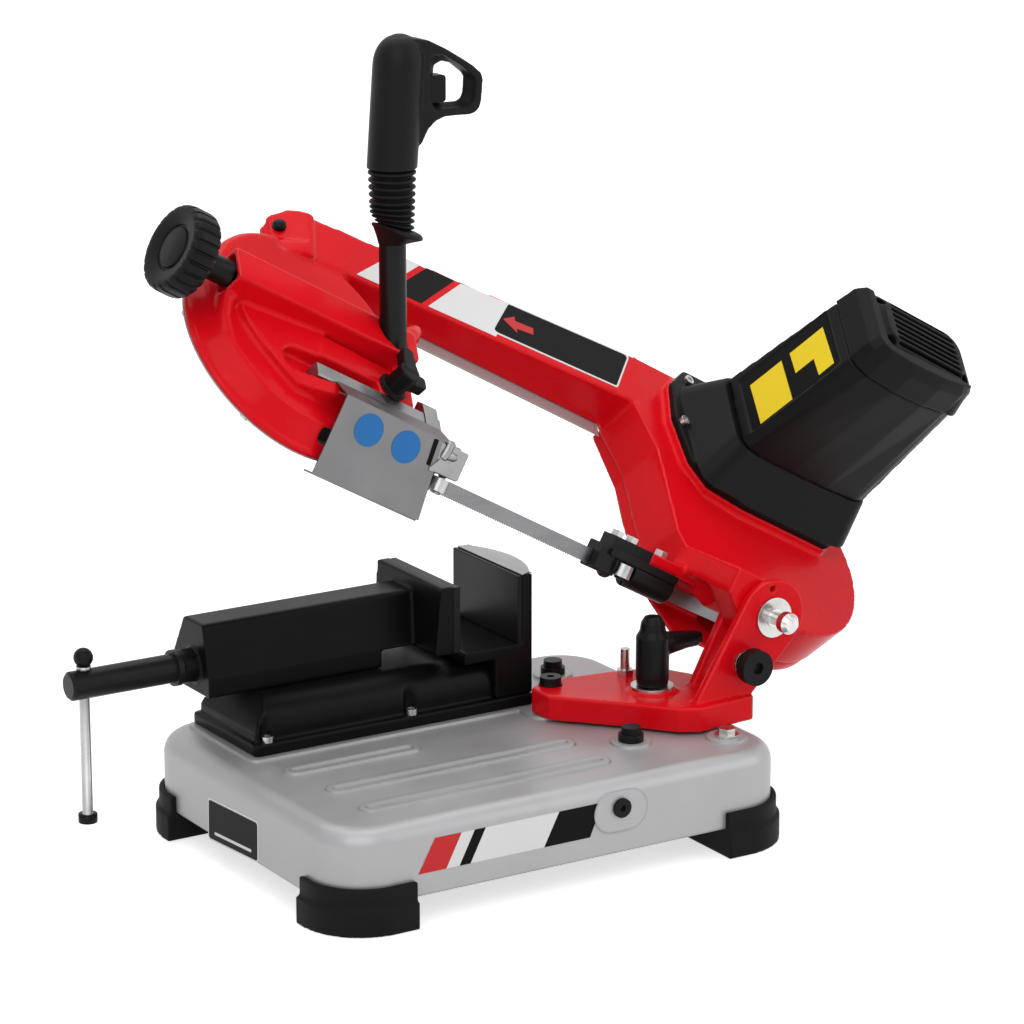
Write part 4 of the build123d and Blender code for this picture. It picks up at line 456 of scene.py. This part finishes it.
# Arm: the CAD casting with the swells, pocket and ear of the real one
DOME_X, DOME_Y = -444.5, 77
DOME_BEAD = 100.4  # radius of the bead round the dome's rim
DOME_BEAD_DROP = -6.5
DOME_BEAD_RADIUS = 1.9


def make_arm():
    sources = [node_mesh("arm_frame")]
    # Plateau between the ridge and the guide's channel, with a crescent edge, and the swell outside it
    crescent = [(-506, 86), (-511, 76), (-507, 64), (-500, 53), (-491, 42), (-481, 32), (-470, 22), (-462, 16)]
    high = [(x, y, 19 + 3.5 * k / 7) for k, (x, y) in enumerate(crescent)] + [(-427, 16, 27.2), (-427, 86, 27.2)]
    sources.append(loft([[(x, y, 6) for x, y, z in high], high], ARM))
    sources.append(rod(
        [(-520, 92, 21), (-524, 78, 14), (-524, 64, 9.5), (-519, 49, 7), (-512, 37, 5.5), (-503, 25, 5)],
        (8, 8, 7.5, 7, 6, 4), ARM))
    rim = [
        (DOME_X + DOME_BEAD * cos(radians(a)), DOME_Y + DOME_BEAD * sin(radians(a)), DOME_BEAD_DROP)
        for a in range(96, 300, 3)
    ]
    sources.append(rod(rim, [DOME_BEAD_RADIUS] * len(rim), ARM, 10))
    # Ear beside the handle's foot, and the block that ends the beam
    sources.append(rod([(-352, 104, 32), (-340, 120, 31), (-330, 133, 28)], (9, 8.5, 6.5), ARM))
    sources.append(prism(rounded([(-452, 178), (-452, 222), (-436, 230), (-414, 229), (-420, 178)], 5), -2, 18, ARM))
    # Facet on the beam's end, which rises at its foot over the band, the guide's pocket, and grooves
    facet = ((176, 10), (188, 9), (195, 1), (238, 1))
    pocket = circle(-463, 41, 11.7, 40)[10:31] + [(-380, 29.3), (-380, 52.7)]
    cuts = [
        loft([[(-454, y, z), (-421, y, 19), (-454, y, 28)] for y, z in facet], ARM),
        prism(pocket, 13.2, 32, ARM),
        prism([(-505, 82), (-470, 79.4), (-437, 77), (-361, 73), (-361, 79.6), (-437, 79.6)], 15, 32, ARM),
        prism(rounded([(-540, 82.5), (-519, 82.5), (-519, 108), (-540, 108)], 3), 15, 38.5, ARM),
    ]
    cast("arm_casting", "arm", "red", sources, ARM, 1.5, 6, 130000, ("arm_frame",), cuts)


make_arm()
cast("rear_dish", "arm", "red", [node_mesh("drive_rear_cover")], ARM, 1.5, 5, 50000,
     ("drive_rear_cover",))
cast("bracket_casting", "swivel", "red", [node_mesh("swivel_bracket")], WORLD, 1.3, 4, 60000,
     ("swivel_bracket",))
cast("bed_casting", "base", "vise", [node_mesh("vise_bed")], WORLD, 1.4, 6, 60000, ("vise_bed",))
cast("fixed_jaw_casting", "base", "vise", [node_mesh("fixed_jaw")], WORLD, 1.2, 4, 40000, ("fixed_jaw",))
cast("movable_jaw_casting", "jaw", "vise", [node_mesh("movable_jaw")], WORLD, 1.2, 5, 60000,
     ("movable_jaw",))
cast("gear_case", "arm", "motor", [node_mesh("gear_cover")], ARM, 1.2, 5, 50000, ("gear_cover",))
cast("feet", "base", "foot", [node_mesh("corner_feet")], WORLD, 1.2, 4, 60000, ("corner_feet",))
cast("lock_handle", "lever", "plastic", [
    node_mesh("lock_lever"),
    rod([(158, -40, 145), (172, -41, 145.5), (188, -40, 145), (200, -39, 144), (204, -38.5, 143.5)],
        (10.5, 8.8, 7.2, 6.4, 4), WORLD, 24),
], WORLD, 0.7, 6, 30000, ("lock_lever",))
cast("clamp_handle", "clamp", "plastic", [node_mesh("guide_clamp_lever")], ARM, 0.7, 5, 30000,
     ("guide_clamp_lever",))


# Tension knob: broad ribs round its rim and a ring in its dished face
KNOB = ARM @ Matrix.Translation((-562.5, 93, 28)) @ Matrix.Rotation(-pi / 2, 4, "Y")
KNOB_RIBS = 24
RIB_STEPS = 8
KNOB_GROOVE = 1.7
GROOVED_FROM = 33


def make_knob():
    profile = [(0.1, 0), (11, 0), (30, 0), (34, 1), (35.6, 3.4), (36, 6), (36, 18), (35.6, 21), (34.4, 23.6),
               (32, 24.8), (29, 24.6), (21, 22.4), (19.6, 21.8), (18.9, 20.2), (17.3, 20.2), (16.6, 21.9), (15, 22.5),
               (0.1, 22.8)]
    steps = KNOB_RIBS * RIB_STEPS
    rings = []
    for radius, rise in profile:
        ring = []
        for j in range(steps):
            groove = KNOB_GROOVE if j % RIB_STEPS in (0, 1) and radius > GROOVED_FROM else 0.0
            angle = 2 * pi * j / steps
            ring.append(((radius - groove) * cos(angle), (radius - groove) * sin(angle), rise))
        rings.append(ring)
    stem = [(5, -90), (5, -32.3), (10.9, -32.2), (10.9, -3), (12.5, 0.5)]
    piece("tension_wheel", "tension", "plastic",
          [loft(rings, KNOB), lathe(stem, KNOB, 48)], ("tension_knob",), 38)


make_knob()


# Left guide: block without the tall post of the CAD one, and the guard's fold over the channel's wall
cast("guide_block", "guide", "block", [node_mesh("left_guide_block")], ARM, 0.7, 3, 40000,
     ("left_guide_block",), [prism([(-348, 12), (-296, 12), (-296, 60), (-348, 60)], 28.4, 60, ARM)])
fold = [(6.9, 39.2), (29.6, 28.8), (29.2, 27.8), (6.5, 38.0)]
piece("guard_fold", "guide", "guard",
      [loft([[(x, y, z) for y, z in fold] for x in (-428.5, -320.5)], ARM)])


# Tommy bar: bright bar with a black ball and a black stop
TOMMY_BALL = 8 * MM
TOMMY_STOP = 9 * MM


def make_tommy():
    made = piece("tommy_handle", "bar", "steel", [node_mesh("tommy_bar")], ("tommy_bar",), 35)
    low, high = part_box("tommy_bar")
    made.data.materials.append(looks["plastic"])
    for polygon in made.data.polygons:
        if polygon.center.z > high[2] - 2 * TOMMY_BALL or polygon.center.z < low[2] + TOMMY_STOP:
            polygon.material_index = 1


make_tommy()


# Handle: leaning grip with its trigger loop, and the ribbed boot under it
HANDLE = Vector((-42, 42, 402))
BOOT_LOW, BOOT_HIGH = 500.0, 553.0
BOOT_FOOT = 492.4
BOOT_BORE = 11.4
BOOT_RIBS = 9
BOOT_CREST, BOOT_FLARE = 17.6, 1.9  # radius of the lowest rib, and how much wider the highest one is
RIB_DEPTH = 3.2
LIP_RADIUS = 24
LEAN_TOP, LEAN_SPAN, LEAN_SLOPE = 526, 34, 0.3  # the lower end slants, more and more below its top
TUCK_LOW, TUCK_SPAN, TUCK = 496, 16, 0.54  # and lies close to the tube on the side away from the grip's loop


def make_boot():
    steps, rings = 96, 140
    rows = []
    for k in range(rings + 1):
        t = k / rings
        wave = 0.5 + 0.5 * cos(2 * pi * (t * BOOT_RIBS - 0.5))
        radius = BOOT_CREST + BOOT_FLARE * t - RIB_DEPTH * (1 - wave) ** 1.6
        rows.append((radius, BOOT_LOW + (BOOT_HIGH - BOOT_LOW) * t))
    lip = [(22.6, 492.6), (23.9, 493.4), (24.4, 495.0), (23.9, 496.8), (22.2, 498.2), (19.0, 499.4)]
    profile = lip + rows + [(BOOT_BORE, BOOT_HIGH - 0.2), (BOOT_BORE, BOOT_FOOT)]
    points, faces = [], []
    for r, z in profile:
        for j in range(steps):
            a = 2 * pi * j / steps
            x, y = r * cos(a), r * sin(a)
            lean = max(0.0, (LEAN_TOP - z) / LEAN_SPAN) if r > BOOT_BORE else 0.0
            tuck = 1 if x > 0 or r == BOOT_BORE else min(1, TUCK + (1 - TUCK) * max(0, z - TUCK_LOW) / TUCK_SPAN)
            points.append((HANDLE.x + x * tuck, HANDLE.y + y, z + LEAN_SLOPE * (LIP_RADIUS - x) * lean))
    count = len(profile)
    for i in range(count):
        for j in range(steps):
            after, beside = (i + 1) % count, (j + 1) % steps
            faces.append((i * steps + j, i * steps + beside, after * steps + beside, after * steps + j))
    piece("ribbed_boot", "arm", "rubber", [shape(points, faces, WORLD)], ("handle_boot",), 60)


make_boot()

# Grip, up from the handle's foot
GRIP_FOOT, GRIP_LENGTH = 151, 106.6
GRIP_RADIUS = 20.3
GRIP_LEAN = 7.5  # in each 100
GRIP_DOME, GRIP_DOME_LENGTH = 232, 26
LOOP_HALF = 10.6
GRIP_RINGS = 40


def make_grip():
    """The leaning grip with its D-shaped loop, whose hole narrows towards its middle."""
    rings = []
    for k in range(GRIP_RINGS + 1):
        rise = GRIP_FOOT + GRIP_LENGTH * k / GRIP_RINGS
        top = max(0.0, (rise - GRIP_DOME) / GRIP_DOME_LENGTH)
        radius = GRIP_RADIUS * max(0.0, 1 - top ** 2.4) ** 0.5
        middle = HANDLE.x + GRIP_LEAN * (rise - GRIP_FOOT) / 100
        rings.append([(middle + x, HANDLE.y + y, HANDLE.z + rise) for x, y in circle(0, 0, max(radius, 2), 64)])
    outside = [(3, 246), (16, 254.5), (29, 252), (45, 244), (60, 235), (70, 228.5), (77.5, 222), (79, 217),
               (77.5, 200), (75.5, 194), (71, 190.5), (66, 189.5), (54, 190), (44, 190), (35, 187), (28, 181),
               (22, 170), (3, 160)]
    rim = [(31, 240.5), (43, 239.5), (58, 230), (69.5, 221), (72.5, 216.5), (71, 203), (68.5, 198), (63.5, 195.8),
           (48, 196.2), (33.5, 196), (29.5, 207)]
    hole = [(40, 229.5), (46.5, 232.5), (55, 231), (62.5, 226), (66, 220), (65.5, 208), (63.5, 202.5), (59, 200),
            (47, 200.3), (36, 200), (34.5, 209)]
    loop = loft([[(HANDLE.x + x, HANDLE.y + y, HANDLE.z + z) for x, z in rounded(outside, 5)]
                 for y in (-LOOP_HALF, LOOP_HALF)], WORLD)
    cut = loft([[(HANDLE.x + x, HANDLE.y + y, HANDLE.z + z) for x, z in rounded(outline, 4)]
                for y, outline in ((-14, rim), (-8, rim), (0, hole), (8, rim), (14, rim))], WORLD)
    cast("grip_shell", "arm", "grip", [loft(rings, WORLD), loop], WORLD, 0.8, 7, 70000,
         ("handle_grip",), [cut])


make_grip()
cast("trigger_block", "trigger", "plastic", [node_mesh("trigger")], WORLD, 0.6, 5, 12000,
     ("trigger",))


# Plain panels, stripes and discs in the places of the printed ones
def face(where, corner, along, across):
    """A flat place on a face: x along it, y across it and z out of it, in millimetres."""
    x = Vector(along).normalized()
    z = x.cross(Vector(across)).normalized()
    turn = Matrix((x, z.cross(x), z)).transposed().to_4x4()
    return where @ Matrix.Translation(corner) @ turn


BEAM = face(ARM, (-453, 0, 12), (393, 0, 18), (0, 1, 0))
MOTOR_FACE = face(ARM, (-3.3, 0, 80), (8.3, 0, 125), (0, 1, 0))
CAP_EDGE = face(ARM, (6.3, 0, 226), (5.2, 0, 8.5), (0, 1, 0))
BASE_FRONT = face(WORLD, (0, -163, 0), (1, 0, 0), (0, 0, 1))
BASE_LEFT = face(WORLD, (-213, 0, 0), (0, -1, 0), (0, 0, 1))


def plate(name, body, material, outline, where, low=-0.3, high=0.3):
    piece(name, body, material, [prism(outline, low, high, where)])


def beam_plate(name, material, outline, high=0.3):
    plate(name, "arm", material, [(x + 453, y) for x, y in outline], BEAM, -0.4, high)


beam_plate("beam_stripe_left", "print_white", [(-374, 185), (-345, 185), (-300, 232), (-327, 232)])
beam_plate("beam_stripe_middle", "print_black", [(-338, 185), (-306, 185), (-263, 232), (-293, 232)])
beam_plate("beam_stripe_right", "print_white", [(-299, 185), (-226, 185), (-200, 234), (-256, 232)])
beam_plate("beam_panel_rim", "print_white", rounded([(-233, 189), (-90, 189), (-66, 238), (-206, 235)], 4), 0.35)
beam_plate("beam_panel", "print_black", rounded([(-228, 191), (-91, 191), (-69, 236), (-204, 233)], 3.5), 0.5)
beam_plate("beam_arrow", "print_red",
           [(-214, 211), (-200, 220), (-200, 215), (-180, 216), (-181, 208), (-200, 206), (-200, 201)], 0.65)


BEAM_CAP = face(ARM, (-445, 209, 5.9), (0, 1, 0), (-33, 0, -18))
piece("beam_cap", "arm", "plastic", [
    lathe([(0.1, -3), (5.5, -3), (5.8, 2), (5.2, 4.2), (3.6, 5.6), (0.1, 6.2)], BEAM_CAP, 32)], (), 50)


def make_motor():
    """The motor's shell and cap with their swollen front, and the recess of the label."""
    def swell(levels):
        return loft([[(x, y, z) for x, y in outline] for z, outline in levels], ARM)

    shell_low = [(-3.2, 202), (-3.5, 131), (2, 123.8), (14, 121), (52, 120), (96, 122), (130, 125), (146, 131),
                 (140, 133), (20, 131), (11, 140), (11, 202)]
    shell_high = [(5.2, 199), (4.6, 134), (9, 127), (20, 121), (52, 118), (88, 120.5), (118, 127), (133, 136),
                  (126, 138), (24, 136), (17, 143), (17, 199)]
    cap_low = [(4.4, 200), (3.8, 134), (8.2, 126.3), (20, 120), (52, 117), (88, 119.5), (119, 126.3), (135, 137),
               (126, 140), (24, 140), (17, 146), (17, 200)]
    cap_mid = [(6.4, 199), (5.8, 135), (10.3, 128.3), (21, 122.3), (52, 119.4), (88, 122), (117, 128.5), (132, 139),
               (126, 140), (24, 140), (17, 146), (17, 199)]
    cap_high = [(11.6, 196), (11, 138), (15, 132), (24, 127.5), (52, 125.5), (88, 127.5), (113, 132), (125, 138),
                (120, 138), (28, 135), (22, 141), (20, 196)]
    recess = prism(rounded([(10, 132), (115, 136.5), (115, 198), (10, 193)], 4), -1.2, 6, MOTOR_FACE)
    cast("motor_shell", "arm", "motor",
         [node_mesh("motor_housing"), swell(((80.2, shell_low), (204.8, shell_high)))], ARM, 1.1, 5, 60000,
         ("motor_housing",), [recess])
    cast("motor_cap", "arm", "motor",
         [node_mesh("motor_end_cap"), swell(((205.4, cap_low), (227, cap_mid), (236, cap_high)))], ARM, 0.9, 4, 80000,
         ("motor_end_cap",))


make_motor()


def motor_plate(name, material, outline, high):
    """A plate in the motor's recess, placed by its distances along the motor and across the arm."""
    plate(name, "arm", material, [(z - 80, y) for z, y in outline], MOTOR_FACE, -2, high)


motor_plate("motor_panel", "print_black", rounded([(92, 133.5), (193, 138), (193, 196), (92, 191.5)], 3), -0.8)
motor_plate("motor_label_low", "print_yellow", [(102, 135), (139, 136.4), (137.6, 182), (100.6, 180.4)], -0.5)
motor_plate("motor_label_high", "print_yellow",
            [(147.5, 183), (186, 185), (188, 142), (170.5, 141), (169.5, 160.5), (148.5, 159.5)], -0.5)
plate("cap_label", "arm", "print_yellow", [(1, 175), (8.5, 178), (8.5, 149), (3, 153)], CAP_EDGE, -2.5, 0.5)


def base_plate(name, where, material, outline, high):
    plate(name, "base", material, outline, where, -0.5, high)


base_plate("front_stripe_white", BASE_FRONT, "print_white", [(-143, 42), (15, 42), (27, 69), (-128, 69)], 0.3)
base_plate("front_stripe_red", BASE_FRONT, "print_red", [(-143, 42), (-118, 42), (-104, 69), (-128, 69)], 0.4)
base_plate("front_stripe_black", BASE_FRONT, "print_black", [(-28, 42), (15, 42), (27, 69), (-14, 69)], 0.4)
base_plate("front_stripe_bar", BASE_FRONT, "print_black", [(-106, 42), (-96, 42), (-82, 69), (-92, 69)], 0.4)
base_plate("left_panel_rim", BASE_LEFT, "print_white", rounded([(-52, 18.5), (33, 24), (34, 59), (-51, 54.5)], 4),
           0.3)
base_plate("left_panel", BASE_LEFT, "print_black", rounded([(-50.5, 20), (31.5, 25.4), (32.4, 57.4), (-49.5, 53)], 3),
           0.45)
base_plate("left_panel_bar", BASE_LEFT, "print_white", rounded([(-40, 25.5), (22, 29.7), (22, 32.2), (-40, 28)], 1),
           0.6)

# Guard: discs, a black plate painted where the slot's shade is, and the bracket with its wing screw
DISC_RADIUS = 13.3
GUARD = face(WORLD, (0, -27, 0), (1, 0, 0), (0, 0, 1))
for place, (x, z) in {"left": (-105, 362), "right": (-71.5, 343.7)}.items():
    plate("disc_" + place, "guide", "print_blue", circle(x, z, DISC_RADIUS), GUARD, -0.3, 0.4)

# Painted shade: a black plate in place of the dark inside of the guard's slot
plate("guard_slot_shade", "guide", "print_black", rounded([(-45, 347), (-41, 345.4), (-49.6, 325), (-53, 327)], 1),
      GUARD, -0.3, 0.35)
piece("guard_bracket", "guide", "block", [
    prism(rounded([(-53, 322.6), (-40.5, 329.4), (-27, 321.6), (-31.5, 315.2)], 2), -4, 0.9, GUARD),
    rod([(-36, -25, 330), (-36, -20, 330)], (3.4, 3.4), WORLD, 20),
    rod([(-37, -24.6, 329), (-34, -24.6, 332), (-31, -24.4, 336), (-28.5, -24.2, 340), (-27.6, -24, 342)],
        (3.4, 4.6, 4.2, 4.8, 2.6), WORLD, 20),
    rod([(-35, -24.6, 331), (-30, -24.6, 330), (-26, -24.4, 328), (-24.6, -24.2, 326)], (3.4, 3.8, 4, 2.2), WORLD,
        20),
], (), 50)


CROWN_SHARE = 0.985  # of the jaw's upper face
SAME_HEIGHT = 0.1 * MM


def make_crown():
    """A light grey bare-metal top on the fixed jaw, a thin plate on its upper face."""
    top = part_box("fixed_jaw")[1][2]
    points = [v.co for v in nodes["fixed_jaw"].data.vertices if v.co.z > top - SAME_HEIGHT]
    middle = sum(points, Vector()) / len(points)
    around = {}
    for point in points:
        around[round(atan2(point.y - middle.y, point.x - middle.x), 4)] = middle + (point - middle) * CROWN_SHARE
    outline = [tuple(around[key].xy / MM) for key in sorted(around)]
    plate("jaw_crown", "base", "crown", outline, WORLD, top / MM - 0.5, top / MM + 0.2)


make_crown()


# Floor, light and world
FLOOR_SIZE = 16
FLOOR_NEAR, FLOOR_FAR = 0.62, 0.85  # how bright the floor shows near the object and far from it
WORLD_LIGHT = 0.45


def seen(tree):
    """1 for the rays that show a background: the camera's, and those of mirrors and glass."""
    path = add(tree, "LightPath")
    either = path.outputs["Is Camera Ray"]
    for ray in ("Is Glossy Ray", "Is Transmission Ray"):
        either = add(tree, "Math", {0: either, 1: path.outputs[ray]}, operation="MAXIMUM").outputs["Value"]
    return either


def make_stage():
    bpy.ops.mesh.primitive_plane_add(size=FLOOR_SIZE, location=(0, 0, -0.0005))
    floor = bpy.context.object
    floor.name = "floor"
    material, tree, shader = new_material("floor")
    shader.inputs["Roughness"].default_value = 0.9
    shader.inputs["Specular IOR Level"].default_value = 0
    shader.inputs["Base Color"].default_value = (0.8, 0.8, 0.8, 1)
    shader.inputs["Emission Color"].default_value = (1, 1, 1, 1)
    away = add(tree, "VectorMath", {0: add(tree, "TexCoord").outputs["Object"]}, operation="LENGTH").outputs["Value"]
    glow = remap(tree, away, 0.4, 2.4, FLOOR_NEAR, FLOOR_FAR)
    strength = add(tree, "Math", {0: glow, 1: seen(tree)}, operation="MULTIPLY").outputs["Value"]
    tree.links.new(strength, shader.inputs["Emission Strength"])
    floor.data.materials.append(material)
    world = bpy.data.worlds.new("studio")
    scene.world = world
    world.use_nodes = True
    tree = world.node_tree
    background = tree.nodes["Background"]
    background.inputs["Color"].default_value = (1, 1, 1, 1)
    tree.links.new(remap(tree, seen(tree), 0, 1, WORLD_LIGHT, 1), background.inputs["Strength"])


def make_lamp(name, place_at, aim, size, power):
    data = bpy.data.lights.new(name, "AREA")
    data.size = size
    data.energy = power
    lamp = bpy.data.objects.new(name, data)
    lamp.location = place_at
    lamp.rotation_euler = (Vector(aim) - Vector(place_at)).to_track_quat("-Z", "Y").to_euler()
    scene.collection.objects.link(lamp)


make_stage()
make_lamp("key", (-1.4, -1.9, 2.2), (0, 0, 0.25), 2.6, 32)
make_lamp("fill", (1.9, -1.5, 1.4), (0.1, 0, 0.3), 1.8, 13)
make_lamp("top", (0.2, 0.6, 2.4), (0, 0, 0.3), 2.2, 23)
